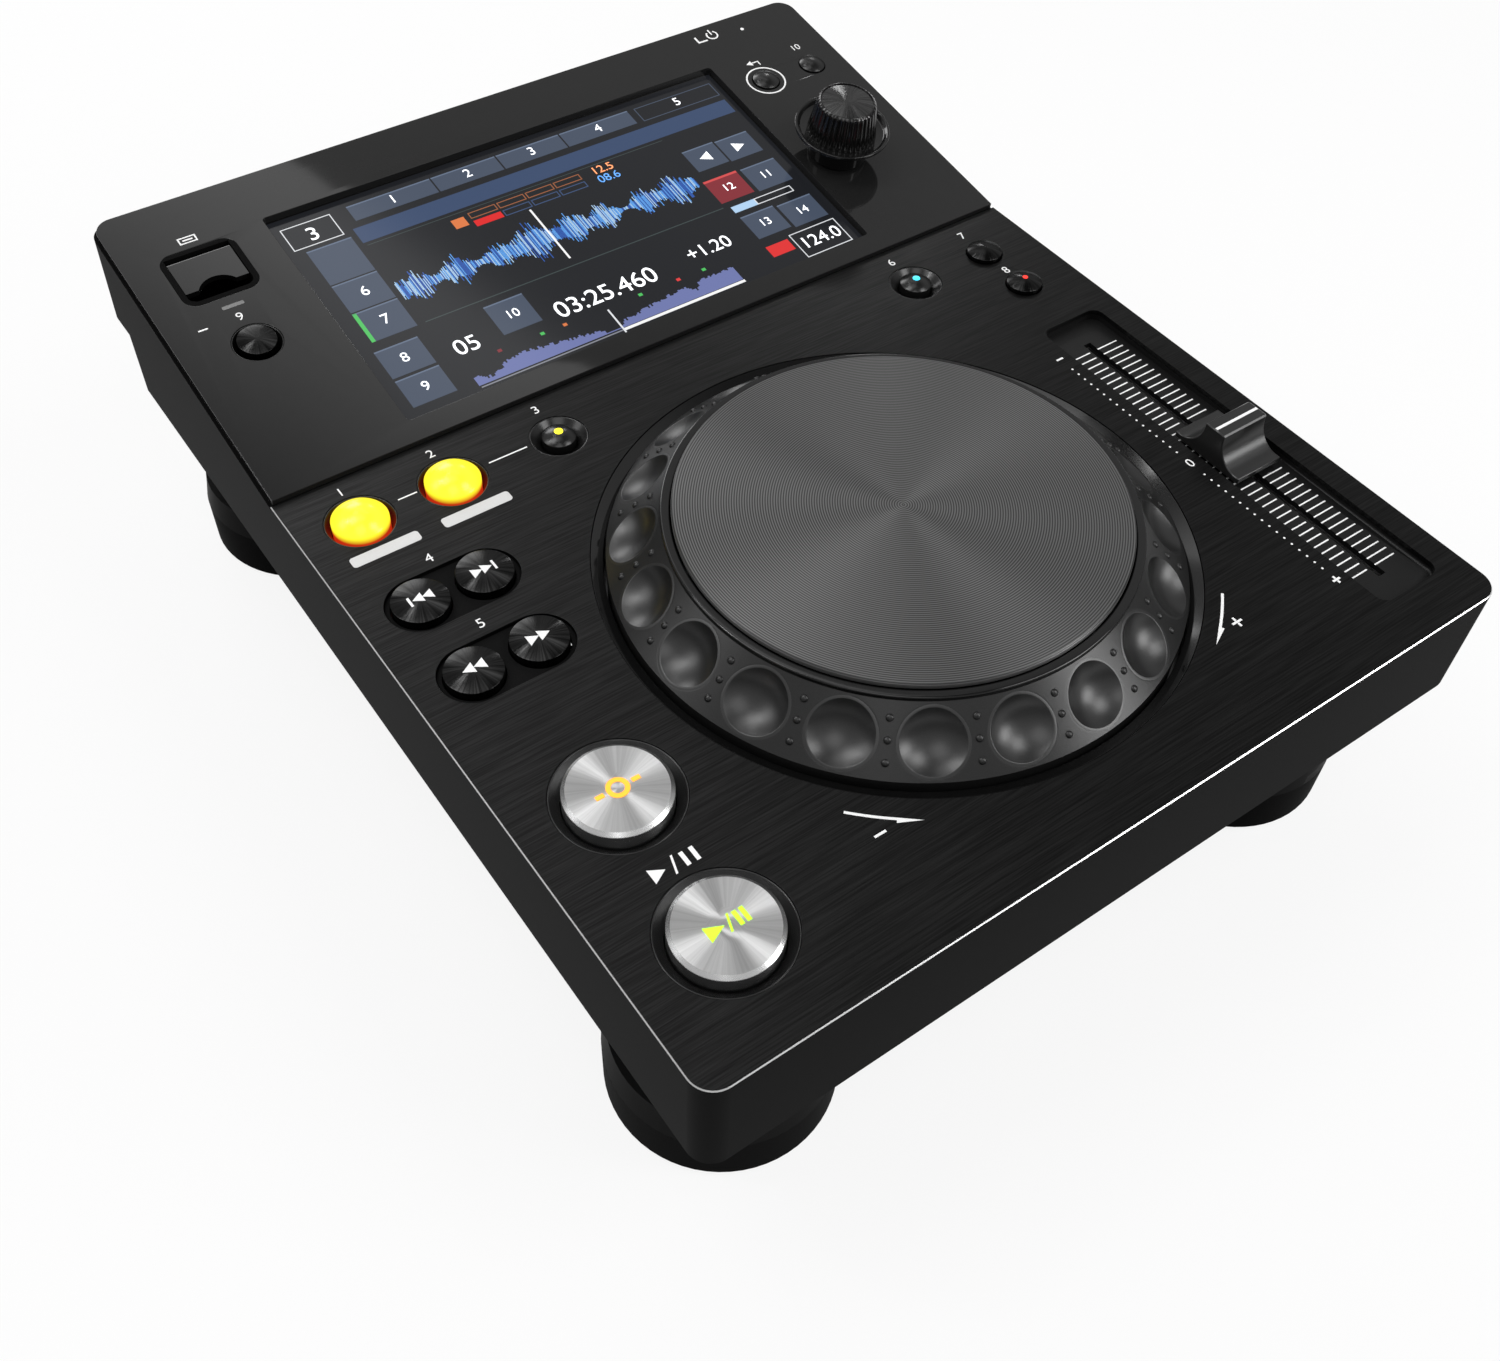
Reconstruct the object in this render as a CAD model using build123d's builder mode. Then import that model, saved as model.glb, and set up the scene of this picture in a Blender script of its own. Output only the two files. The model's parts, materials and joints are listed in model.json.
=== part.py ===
from build123d import *

import os
from collections import namedtuple
from math import cos, radians, sin, sqrt

# A compact desktop media player: a wedge-shaped case on four tall feet, with a brushed deck that holds
# a jog wheel, buttons and a tempo fader, and a tilted display panel behind it.
# Millimetres. The origin is on the table under the middle of the case, +X to the right, +Y to the rear.

# Case: the deck is as large as the jog wheel's hole and the bands left around it
jog_hole_radius = 73.0
left_band = 44.4
right_band = 39.6
front_band = 17.4
rear_band = 21.6
case_width = left_band + 2 * jog_hole_radius + right_band
deck_length = front_band + 2 * jog_hole_radius + rear_band
left_edge = -case_width / 2
right_edge = case_width / 2
deck_top = 79.8
case_height = 32.7
display_tilt = 8.8
display_length = 107.3
display_lip = 1.2
jack_bay_height = 19.68
jack_recess = 13.7
jack_shelf = 4.0
wall = 2.5
roof = 2.0
corner_radius = 6.0
rear_corner_radius = 5.0
plate_thickness = 1.5
plate_chamfer = 0.5
panel_thickness = 2.2
panel_inset = 0.8
panel_chamfer = 0.4
panel_gap = 0.3
cover_thickness = 2.0
cover_gap = 0.3
fit = 0.05
seat_gap = 0.2
overrun = 5.0

# Jog wheel
jog_x = left_edge + left_band + jog_hole_radius
jog_from_front = front_band + jog_hole_radius
jog_cone_band = 19.1
jog_bezel_gap = 3.7
jog_plate_radius = jog_hole_radius - jog_cone_band
jog_plate_top = 14.5
jog_plate_thickness = 1.5
jog_plate_chamfer = 0.4
jog_rim_width = 2.3
jog_rim_top = 13.2
jog_cone_top = 12.0
jog_ring_radius = jog_hole_radius - jog_bezel_gap
jog_cone_foot = 0.4
jog_skirt_foot = -5.0
jog_skirt_wall = 2.6
jog_ring_wall = 4.8
jog_side_gap = 0.3
dimple_count = 20
dimple_phase = 3.8
dimple_radius = 7.4
dimple_depth = 2.6
dome_radius = 0.9
dome_shares = (0.22, 0.50, 0.78)
jog_web_top = 3.0
jog_web_thickness = 2.5
jog_hub_radius = 9.0
jog_hub_top = 9.0
jog_hub_foot = -7.7
guide_radius = 2.5
guide_end = 4.2
guide_bore_floor = 3.0
touch_ring_inset = 7.4
touch_ring_radius = jog_plate_radius - touch_ring_inset
touch_ring_width = 5.0
touch_support_width = 3.0
touch_sheet_thickness = 0.9
touch_gap = 0.6
spindle_radius = 4.0
spindle_top = 1.4
sensor_clearance = 3.7
encoder_disc_lift = 4.5
spindle_lift = 1.5
well_hub_lift = 2.5
sensor_foot = cover_thickness + sensor_clearance - case_height
encoder_disc_height = sensor_foot + encoder_disc_lift
spindle_foot = sensor_foot + spindle_lift
spindle_bore_top = 1.5
well_lip = 1.0
well_flange = 3.2
well_flange_thickness = 2.0
well_taper = 2.6
well_throat_radius = jog_hole_radius - well_taper
well_throat_depth = 8.0
well_floor_top = -9.0
well_floor_thickness = 2.0
well_hub_radius = 11.0
well_hub_foot = encoder_disc_height + well_hub_lift
lug_radius = 4.0
lug_overhang = 6.0
lug_reach = jog_hole_radius + lug_overhang
lug_count = 4
lug_phase = 45.0
bearing_radius = 6.5
bearing_flange_radius = 8.5
bearing_flange_thickness = 1.0
encoder_radius = 26.0
encoder_thickness = 1.0
encoder_hub_radius = 7.0
encoder_hub_length = 4.0
encoder_slots = 36
encoder_slot_length = 3.5
encoder_slot_margin = 1.2
encoder_slot_width = 1.6
sensor_width = 8.0
sensor_length = 10.0
sensor_overlap = 5.0
sensor_gap = 3.2

# Tempo fader
fader_inset = 17.8
fader_front_gap = 12.6
fader_rear_gap = 52.4
fader_end_stop = 11.3
fader_x = right_edge - fader_inset
fader_length = deck_length - fader_front_gap - fader_rear_gap
fader_from_front = fader_front_gap + fader_length / 2
fader_width = 20.0
fader_corner_radius = 3.0
fader_depth = 3.0
fader_travel = fader_length / 2 - fader_end_stop
tray_wall = 1.2
tray_floor = 1.5
tray_flange = 2.0
tray_flange_thickness = 1.0
fader_slot_width = 2.4
slot_margin = 0.8
fader_body_width = 13.0
fader_body_overhang = 3.0
fader_body_length = fader_length + 2 * fader_body_overhang
fader_body_height = 8.5
fader_body_wall = 0.8
carriage_length = 14.0
carriage_height = 5.0
carriage_gap = 0.3
carriage_lift = 1.5
lever_thickness = 1.4
lever_length = 5.0
lever_top = 3.0
cap_width = 15.5
cap_length = 22.0
cap_top = 8.2
cap_lift = 1.2
cap_ridge = 6.4
cap_ridge_drop = 1.2
cap_wing = 1.6
cap_wing_length = 1.4
cap_edge = 0.5

# Buttons: caps, dished rings and the switches under them
button_flange = 0.8
button_flange_thickness = 1.3
button_gap = 0.25
stem_radius = 1.5
press_gap = 0.15
small_travel = 0.5
transport_travel = 0.8
ring_flange = 1.2
ring_flange_thickness = 1.0
ring_land = 0.35
ring_sink = 0.15
ring_dish = 2.4
switch_size = 6.0
switch_body = 3.5
switch_height = 5.0
switch_plunger_radius = 1.7
switch_drop = 6.5
board_thickness = 1.6

transport_inset = 23.8
transport_x = left_edge + transport_inset
transport_ring_radius = 14.9
transport_cap_radius = 12.0
transport_rise = 2.6
transport_dome = 0.5

loop_rear_gap = 16.3
loop_in_inset = 15.8
loop_out_inset = 40.7
loop_from_front = deck_length - loop_rear_gap
loop_in_x = left_edge + loop_in_inset
loop_out_x = left_edge + loop_out_inset
loop_ring_radius = 8.8
loop_cap_radius = 7.0
loop_rise = 4.2
loop_dome = 3.4
reloop_inset = 70.8
reloop_x = left_edge + reloop_inset
dish_ring_radius = 7.5
dish_cap_radius = 4.4
dish_rise = 1.6
dish_dome = 1.6
vinyl_inset = 42.9
tempo_range_inset = 17.5
key_lock_pitch = 17.1
vinyl_x = right_edge - vinyl_inset
tempo_range_x = right_edge - tempo_range_inset
key_lock_from_front = loop_from_front - key_lock_pitch
small_cap_radius = 5.0
small_rise = 2.4
small_dome = 1.3

pair_inset = 23.5
pair_x = left_edge + pair_inset
pair_pitch = 16.7
pair_end_radius = 8.4
pair_floor_depth = 1.0
pair_cap_radius = 6.9
pair_rise = 2.0
pair_dome = 0.8

# Left column: the play, cue, search and track rows stand in front of the loop row. What is left of the length
# after their own sizes and a least gap is shared out between them.
row_gap = 2.6
front_share = 0.1825
cue_share = 0.1304
search_share = 0.365
track_share = 0.1006
row_count = 5
rows_length = 4 * transport_ring_radius + 4 * pair_end_radius + loop_ring_radius
free_length = loop_from_front - rows_length - row_count * row_gap
play_from_front = row_gap + front_share * free_length + transport_ring_radius
cue_from_front = play_from_front + 2 * transport_ring_radius + row_gap + cue_share * free_length
search_gap = row_gap + search_share * free_length
search_from_front = cue_from_front + transport_ring_radius + search_gap + pair_end_radius
track_from_front = search_from_front + 2 * pair_end_radius + row_gap + track_share * free_length
above_track = (track_from_front + pair_end_radius + loop_from_front - loop_ring_radius) / 2
above_cue = cue_from_front + transport_ring_radius + search_gap / 2

# Display panel
window_left_band = 41.0
window_right_band = 42.0
window_start = 7.0
window_rear_band = 18.6
window_width = case_width - window_left_band - window_right_band
window_length = display_length - window_start - window_rear_band
window_x = (window_left_band - window_right_band) / 2
window_corner_radius = 1.0
glass_margin = 2.0
glass_thickness = 1.1
lcd_thickness = 5.5
lcd_inset = 0.5
glass_fit = 0.5
frame_wall = 1.0
frame_tab_width = 12.0
frame_tab_reach = 6.0
frame_tab_shares = (0.12, 0.62)
stop_inset = 20.4
stop_rear_gap = 59.1
stop_x = left_edge + stop_inset
stop_along = display_length - stop_rear_gap
stop_ring_radius = 6.6
stop_cap_radius = 5.1
stop_rise = 1.4
back_inset = 29.6
tag_inset = 12.0
back_rear_gap = 31.5
back_x = right_edge - back_inset
tag_x = right_edge - tag_inset
back_along = display_length - back_rear_gap
back_cap_radius = 4.1
tag_cap_radius = 3.95
panel_button_rise = 1.6
panel_button_dome = 1.2

# Browse knob
knob_inset = 29.5
knob_pitch = 36.7
knob_x = right_edge - knob_inset
knob_along = back_along - knob_pitch
knob_stem_radius = 8.7
knob_lift = 0.8
collar_radius = 14.1
collar_height = 9.8
collar_thickness = 1.6
collar_dish = 1.4
grip_radius = 10.2
grip_top_radius = 8.6
knob_top = 18.6
knob_chamfer = 0.7
knob_flutes = 36
flute_radius = 0.55
cap_disc_radius = 7.6
cap_disc_thickness = 0.6
cap_disc_sink = 0.2
knob_cavity_radius = 5.6
knob_cavity_top = 6.0
shaft_radius = 3.0
shaft_top = 14.0
shaft_end_gap = 0.3
plunger_height = 1.3
plunger_radius = 2.9
plunger_gap = 0.6
encoder_body_size = 12.0
encoder_body_height = 7.0
bushing_radius = 4.5
bushing_top = 0.3
encoder_base_wall = 0.8

# Covered socket on the display panel
port_inset = 20.6
port_rear_gap = 30.55
port_x = left_edge + port_inset
port_along = display_length - port_rear_gap
port_width = 21.1
port_length = 20.3
port_corner_radius = 4.0
port_wall = 1.55
port_depth = 24.0
port_floor = 1.5
port_flange = 1.4
port_flange_thickness = 1.2
door_sink = 0.4
door_gap = 0.25
door_thickness = 1.6
door_front_gap = 4.0
door_notch_radius = 6.0
door_notch_depth = 3.0
door_pin_radius = 0.7
door_pin_grip = 0.9
ledge_width = 1.0
ledge_length = 4.0
ledge_height = 1.5
plug_width = 12.4
plug_height = 4.9
plug_wall = 0.4
plug_length = 11.0
plug_base = 2.0
plug_tongue_width = 11.0
plug_tongue_height = 1.8
plug_tongue_end = 1.5

# Boards and bosses
boss_radius = 3.0
boss_pilot_depth = 9.0
case_screw_radius = 1.4
case_screw_head_radius = 2.7
case_screw_head_height = 1.8
case_screw_length = 8.0
case_boss_inset = 6.5
case_boss_front_inset = 5.6
case_boss_behind_deck = 15.0
case_boss_rear_inset = 19.2
board_boss_radius = 2.8
board_screw_radius = 1.2
board_screw_head_radius = 2.3
board_screw_head_height = 1.6
board_screw_length = 5.0
left_board_insets = (11.0, 38.0, 79.0)
board_front_inset = 8.0
board_rear_inset = 4.0
loop_board_reach = 10.7
left_boss_offset = 9.7
loop_boss_offset = 14.5
right_board_insets = (53.0, 10.5)
right_board_length = 42.0
right_boss_insets = (29.0, 43.0)
right_boss_rear_gaps = (17.5, 37.0)
stop_board_width = 30.0
stop_board_length = 16.0
stop_boss_reach = 11.5
browse_board_insets = (36.0, 6.0)
browse_board_margins = (10.1, 8.2)
browse_boss_inset = 15.0
browse_boss_offsets = (-2.1, 18.9)
main_board_width = 150.0
main_board_behind_deck = (5.0, 61.0)
standoff_radius = 3.0
standoff_height = 5.0
standoff_inset = 6.0
chip_size = 24.0
chip_height = 2.2
memory_width = 14.0
memory_length = 10.0
memory_height = 1.2
memory_pitch = 18.0
header_width = 60.0
header_length = 6.0
header_height = 5.0
header_inset = 8.0
jack_standoff_height = 1.4
jack_board_side_gap = 20.0
jack_board_rear_insets = (29.8, 16.3)
vent_columns = 6
vent_rows = 4
vent_length = 22.0
vent_width = 2.5
vent_pitch_x = 28.0
vent_pitch_y = 8.0
vent_from_front = 120.0

# Rear sockets
rear_panel_thickness = 1.5
socket_gap = 0.3
socket_proud = 1.0
rca_x = (-62.0, -46.0)
rca_block_width = 11.0
rca_block_height = 12.0
rca_block_depth = 11.0
rca_radius = 4.2
rca_collar_radius = 5.4
rca_collar_proud = 1.0
rca_bore_radius = 1.7
rca_bore_depth = 7.0
rca_reach = 9.0
rca_axis_height = 7.0
lan_x = -18.0
lan_width = 15.6
lan_height = 12.6
lan_depth = 16.0
lan_mouth_width = 11.8
lan_mouth_height = 8.4
lan_mouth_depth = 12.0
data_x = 8.0
data_width = 12.0
data_height = 11.0
data_mouth_width = 8.6
data_mouth_height = 7.8
data_mouth_depth = 9.0
data_tongue_width = 5.6
data_tongue_height = 3.2
inlet_x = 36.0
inlet_width = 9.4
inlet_height = 11.0
inlet_depth = 14.0
inlet_radius = 2.9
inlet_pin_radius = 1.0
inlet_bore_depth = 9.0
power_inset = 35.0
power_x = right_edge - power_inset
power_axis_height = 7.0
power_radius = 4.0
power_proud = 2.6
power_travel = 1.5
power_dome = 0.6
power_flange = 1.0
power_switch_size = 9.0
power_switch_depth = 6.0
lock_inset = 19.0
lock_x = left_edge + lock_inset
lock_width = 7.0
lock_height = 3.0
lock_rise = 9.0

# Feet
foot_side_inset = 30.7
foot_end_inset = 36.5
foot_radius = 28.0
foot_shoulder_radius = 26.6
foot_shoulder_height = 22.7
foot_body_radius = 24.0
foot_top_radius = 25.0
foot_pad_height = 14.6
foot_spigot_radius = 20.0
foot_spigot_height = 6.0
pad_edge = 1.2
pad_hollow_radius = 12.0
pad_hollow_depth = 4.0
foot_screw_radius = 2.0
foot_screw_head_radius = 4.0
foot_screw_head_height = 3.0
foot_screw_grip = 10.0
foot_boss_radius = 5.0
foot_boss_height = 5.0
foot_well_radius = 4.5

# Places worked out from the sizes above
tilt_cos = cos(radians(display_tilt))
tilt_sin = sin(radians(display_tilt))
case_bottom = deck_top - case_height
display_z = deck_top + display_lip
panel_rear_z = display_z + display_length * tilt_sin
overhang_height = (panel_rear_z - case_bottom - jack_bay_height) / tilt_cos
case_depth = deck_length + display_length * tilt_cos + overhang_height * tilt_sin
front_y = -case_depth / 2
foot_x = right_edge - foot_side_inset
foot_from_front = (foot_end_inset, case_depth - foot_end_inset)
case_boss_from_front = (case_boss_front_inset, above_track, deck_length + case_boss_behind_deck,
                        case_depth - case_boss_rear_inset)
left_board_edges = [left_edge + inset for inset in left_board_insets]
left_board_from_front = (board_front_inset, loop_from_front - loop_board_reach, deck_length - board_rear_inset)
left_boss_x = transport_x + left_boss_offset
left_boss_from_front = ((play_from_front + cue_from_front) / 2, above_cue, above_track)
loop_boss_x = reloop_x - loop_boss_offset
right_board_edges = [right_edge - inset for inset in right_board_insets]
right_board_rear = deck_length - board_rear_inset
right_board_from_front = (right_board_rear - right_board_length, right_board_rear)
right_boss_places_x = [right_edge - inset for inset in right_boss_insets]
right_boss_from_front = [deck_length - gap for gap in right_boss_rear_gaps]
browse_board_edges = [right_edge - inset for inset in browse_board_insets]
browse_board_along = (knob_along - browse_board_margins[0], back_along + browse_board_margins[1])
browse_boss_x = right_edge - browse_boss_inset
browse_boss_along = [knob_along + offset for offset in browse_boss_offsets]
main_board_from_front = [deck_length + reach for reach in main_board_behind_deck]
jack_board_width = case_width - 2 * jack_board_side_gap
jack_board_from_front = [case_depth - inset for inset in jack_board_rear_insets]
cover_top = case_bottom + cover_thickness
seat_z = deck_top - plate_thickness
display_y = front_y + deck_length
jack_y = case_depth / 2 - jack_recess
deck_stack = plate_thickness + roof
panel_stack = panel_thickness + roof
normal = (0, -tilt_sin, tilt_cos)
panel_plane = Plane(origin=(0, display_y, display_z), x_dir=(1, 0, 0), z_dir=normal)
jog_y = front_y + jog_from_front
fader_y = front_y + fader_from_front
glass_width = window_width + 2 * glass_margin
glass_length = window_length + 2 * glass_margin
window_along = window_start + window_length / 2
lcd_depth = panel_thickness + glass_thickness + lcd_thickness


def from_front(distance):
    """Y of a point this far behind the front edge."""
    return front_y + distance


def panel_point(along, height):
    """Y and Z of a point on the display panel's slope, raised along its normal."""
    y = display_y + along * tilt_cos - height * tilt_sin
    z = display_z + along * tilt_sin + height * tilt_cos
    return (y, z)


def roof_z(y):
    """Height of the case's inner ceiling at one Y."""
    if y < display_y:
        return seat_z - roof
    rise = (y - display_y) * tilt_sin / tilt_cos
    return display_z + rise - panel_stack / tilt_cos


def upright(x, distance):
    """Turning plane on the deck: local X is the radius, local Y the height above the deck."""
    return Plane(origin=(x, from_front(distance), deck_top), x_dir=(1, 0, 0), z_dir=(0, -1, 0))


def leaning(x, along):
    """Turning plane on the display panel: local Y is the height along the panel's normal."""
    y, z = panel_point(along, 0)
    return Plane(origin=(x, y, z), x_dir=(1, 0, 0), z_dir=(0, -tilt_cos, -tilt_sin))


def turning_axis(plane):
    """The axis that a turned piece on this plane is revolved about."""
    return Axis(plane.origin, plane.y_dir)


def outline(plane, points):
    """A closed straight-sided face on a plane."""
    with BuildSketch(plane) as face:
        with BuildLine():
            Polyline(*points, close=True)
        make_face()
    return face.sketch


def save(builder, name):
    """Label one finished piece and write its file."""
    builder.part.label = name
    export_step(builder.part, f"parts/{name}.step")


os.makedirs("parts", exist_ok=True)

# Buttons that share one form: where each stands, its cap, its dished ring and the layers it passes through
ButtonSpec = namedtuple("ButtonSpec", "plane cap ring rise dome stack travel")
cue_plane = upright(transport_x, cue_from_front)
play_plane = upright(transport_x, play_from_front)
transport_form = (transport_cap_radius, transport_ring_radius, transport_rise, transport_dome, deck_stack,
                  transport_travel)
loop_form = (loop_cap_radius, loop_ring_radius, loop_rise, loop_dome, deck_stack, small_travel)
dish_form = (dish_cap_radius, dish_ring_radius, dish_rise, dish_dome, deck_stack, small_travel)
small_form = (small_cap_radius, 0, small_rise, small_dome, deck_stack, small_travel)
pair_form = (pair_cap_radius, 0, pair_rise, pair_dome, deck_stack, small_travel)
stop_form = (stop_cap_radius, stop_ring_radius, stop_rise, panel_button_dome, panel_stack, small_travel)
back_form = (back_cap_radius, 0, panel_button_rise, panel_button_dome, panel_stack, small_travel)
tag_form = (tag_cap_radius, 0, panel_button_rise, panel_button_dome, panel_stack, small_travel)
pair_back_x = pair_x - pair_pitch / 2
pair_forward_x = pair_x + pair_pitch / 2
buttons = {
    "cue_button": ButtonSpec(cue_plane, *transport_form),
    "play_button": ButtonSpec(play_plane, *transport_form),
    "loop_in_button": ButtonSpec(upright(loop_in_x, loop_from_front), *loop_form),
    "loop_out_button": ButtonSpec(upright(loop_out_x, loop_from_front), *loop_form),
    "reloop_button": ButtonSpec(upright(reloop_x, loop_from_front), *dish_form),
    "vinyl_mode_button": ButtonSpec(upright(vinyl_x, loop_from_front), *dish_form),
    "tempo_range_button": ButtonSpec(upright(tempo_range_x, loop_from_front), *small_form),
    "key_lock_button": ButtonSpec(upright(tempo_range_x, key_lock_from_front), *small_form),
    "track_back_button": ButtonSpec(upright(pair_back_x, track_from_front), *pair_form),
    "track_forward_button": ButtonSpec(upright(pair_forward_x, track_from_front), *pair_form),
    "search_back_button": ButtonSpec(upright(pair_back_x, search_from_front), *pair_form),
    "search_forward_button": ButtonSpec(upright(pair_forward_x, search_from_front), *pair_form),
    "usb_stop_button": ButtonSpec(leaning(stop_x, stop_along), *stop_form),
    "back_button": ButtonSpec(leaning(back_x, back_along), *back_form),
    "tag_button": ButtonSpec(leaning(tag_x, back_along), *tag_form),
}
on_deck = {name: spec for name, spec in buttons.items() if spec.stack == deck_stack}
single_on_deck = {name: spec for name, spec in on_deck.items() if spec.cap != pair_cap_radius}
pair_places = [(pair_x, from_front(track_from_front)), (pair_x, from_front(search_from_front))]
board_drop = switch_drop + switch_height


def hole_radius(spec):
    """Radius of the hole that a button or its ring needs."""
    return spec.ring if spec.ring else spec.cap + button_gap


def deck_openings(around_jog, around_buttons, around_fader):
    """The deck's holes, each group grown by its own clearance."""
    with Locations((jog_x, jog_y)):
        Circle(jog_hole_radius + around_jog)
    for spec in single_on_deck.values():
        with Locations((spec.plane.origin.X, spec.plane.origin.Y)):
            Circle(hole_radius(spec) + around_buttons)
    with Locations(*pair_places):
        SlotCenterToCenter(pair_pitch, 2 * (pair_end_radius + around_buttons))
    with Locations((fader_x, fader_y)):
        RectangleRounded(fader_width + 2 * around_fader, fader_length + 2 * around_fader,
                         fader_corner_radius + around_fader)


def panel_openings(around_buttons):
    """The display panel's holes, in the panel's own plane, apart from its window."""
    with Locations((port_x, port_along)):
        RectangleRounded(port_width + 2 * around_buttons, port_length + 2 * around_buttons, port_corner_radius)
    for name in ("usb_stop_button", "back_button", "tag_button"):
        spec = buttons[name]
        place = panel_plane.to_local_coords(spec.plane.origin)
        with Locations((place.X, place.Y)):
            Circle(hole_radius(spec) + around_buttons)
    with Locations((knob_x, knob_along)):
        Circle(bushing_radius + seat_gap + around_buttons)


# Deck plate: brushed sheet with a bright chamfered edge and all the deck's holes
plate_length = deck_length - panel_gap
with BuildPart() as deck_plate:
    with BuildSketch(Plane.XY.offset(seat_z)) as plate_outline:
        with Locations((0, from_front(plate_length / 2))):
            Rectangle(case_width, plate_length)
        fillet(plate_outline.vertices().group_by(Axis.Y)[0], corner_radius)
    extrude(amount=plate_thickness)
    chamfer(deck_plate.faces().sort_by(Axis.Z)[-1].edges(), plate_chamfer)
    with BuildSketch(Plane.XY.offset(seat_z - overrun)):
        deck_openings(0, 0, 0)
    extrude(amount=plate_thickness + 2 * overrun, mode=Mode.SUBTRACT)
save(deck_plate, "deck_plate")

# Display panel: one black sheet on the slope, with the screen's window and the holes around it
panel_width = case_width - 2 * panel_inset
with BuildPart() as display_panel:
    with BuildSketch(panel_plane.offset(-panel_thickness)) as panel_outline:
        with Locations((0, (display_length - panel_inset) / 2)):
            Rectangle(panel_width, display_length - panel_inset)
        fillet(panel_outline.vertices().group_by(Axis.Y)[-1], rear_corner_radius)
    extrude(amount=panel_thickness)
    chamfer(display_panel.faces().sort_by(Axis(display_panel.part.center(), normal))[-1].edges(), panel_chamfer)
    with BuildSketch(panel_plane.offset(-overrun)):
        with Locations((window_x, window_along)):
            RectangleRounded(window_width, window_length, window_corner_radius)
        panel_openings(0)
    extrude(amount=2 * overrun, mode=Mode.SUBTRACT)
save(display_panel, "display_panel")

# Upper case: walls, roof and rear overhang of one moulding, open below, with bosses for the screws
overhang_z = panel_point(display_length, -overhang_height)[1]
outer_profile = [
    (front_y, case_bottom),
    (front_y, seat_z),
    (display_y, seat_z),
    panel_point(0, -panel_thickness),
    panel_point(display_length, -panel_thickness),
    panel_point(display_length, -overhang_height),
    (jack_y, overhang_z),
    (jack_y, case_bottom),
]
shelf_y = jack_y - jack_shelf
inner_profile = [
    (front_y + wall, case_bottom - overrun),
    (front_y + wall, seat_z - roof),
    (display_y, seat_z - roof),
    (display_y, roof_z(display_y)),
    panel_point(display_length - wall, -panel_stack),
    panel_point(display_length - wall, wall - overhang_height),
    (shelf_y, overhang_z + wall),
    (shelf_y, overhang_z),
    (jack_y + overrun, overhang_z),
    (jack_y + overrun, case_bottom - overrun),
]
case_boss_x = case_width / 2 - case_boss_inset
case_boss_places = [(side * case_boss_x, from_front(d)) for side in (-1, 1) for d in case_boss_from_front]
left_bosses = [(left_boss_x, d) for d in left_boss_from_front] + [(loop_boss_x, loop_from_front)]
deck_boss_places = left_bosses + list(zip(right_boss_places_x, right_boss_from_front))
stop_boss_places = [(stop_x - stop_boss_reach, stop_along), (stop_x + stop_boss_reach, stop_along)]
panel_boss_places = stop_boss_places + [(browse_boss_x, along) for along in browse_boss_along]
lug_places = PolarLocations(lug_reach, lug_count, lug_phase).local_locations
lug_points = [(jog_x + place.position.X, jog_y + place.position.Y) for place in lug_places]
board_top = deck_top - deck_stack - board_drop
panel_board_top = -panel_stack - board_drop

with BuildPart() as upper_case:
    extrude(outline(Plane.YZ, outer_profile), amount=case_width / 2, both=True)
    fillet(upper_case.edges().filter_by(Axis.Z).group_by(Axis.Y)[0], corner_radius)
    fillet(upper_case.edges().filter_by(Axis((0, 0, 0), normal)).group_by(Axis.Y)[-1], rear_corner_radius)
    extrude(outline(Plane.YZ, inner_profile), amount=case_width / 2 - wall, both=True, mode=Mode.SUBTRACT)
    with BuildSketch(Plane.XY.offset(seat_z - roof - overrun)):
        deck_openings(well_lip + seat_gap, fit, tray_wall + seat_gap)
    extrude(amount=roof + 2 * overrun, mode=Mode.SUBTRACT)
    with BuildSketch(panel_plane.offset(-panel_stack - overrun)):
        with Locations((window_x, window_along)):
            Rectangle(glass_width + 2 * glass_fit, glass_length + 2 * glass_fit)
        panel_openings(fit)
    extrude(amount=roof + 2 * overrun, mode=Mode.SUBTRACT)
    for x, y in case_boss_places:
        with BuildSketch(Plane.XY.offset(cover_top)):
            with Locations((x, y)):
                Circle(boss_radius)
        extrude(amount=roof_z(y) + roof / 2 - cover_top)
    with BuildSketch(Plane.XY.offset(board_top)):
        with Locations(*[(x, from_front(distance)) for x, distance in deck_boss_places]):
            Circle(board_boss_radius)
    extrude(amount=board_drop + roof / 2)
    with BuildSketch(panel_plane.offset(panel_board_top)):
        with Locations(*panel_boss_places):
            Circle(board_boss_radius)
    extrude(amount=board_drop + roof / 2)
    with BuildSketch(Plane.XY.offset(cover_top)):
        with Locations(*case_boss_places):
            Circle(case_screw_radius + fit)
    extrude(amount=boss_pilot_depth, mode=Mode.SUBTRACT)
    with BuildSketch(Plane.XY.offset(board_top)):
        with Locations(*[(x, from_front(distance)) for x, distance in deck_boss_places]):
            Circle(board_screw_radius + fit)
    extrude(amount=board_screw_length, mode=Mode.SUBTRACT)
    with BuildSketch(Plane.XY.offset(seat_z - roof)):
        with Locations(*lug_points):
            Circle(board_screw_radius + fit)
    extrude(amount=roof, mode=Mode.SUBTRACT)
save(upper_case, "upper_case")

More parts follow.
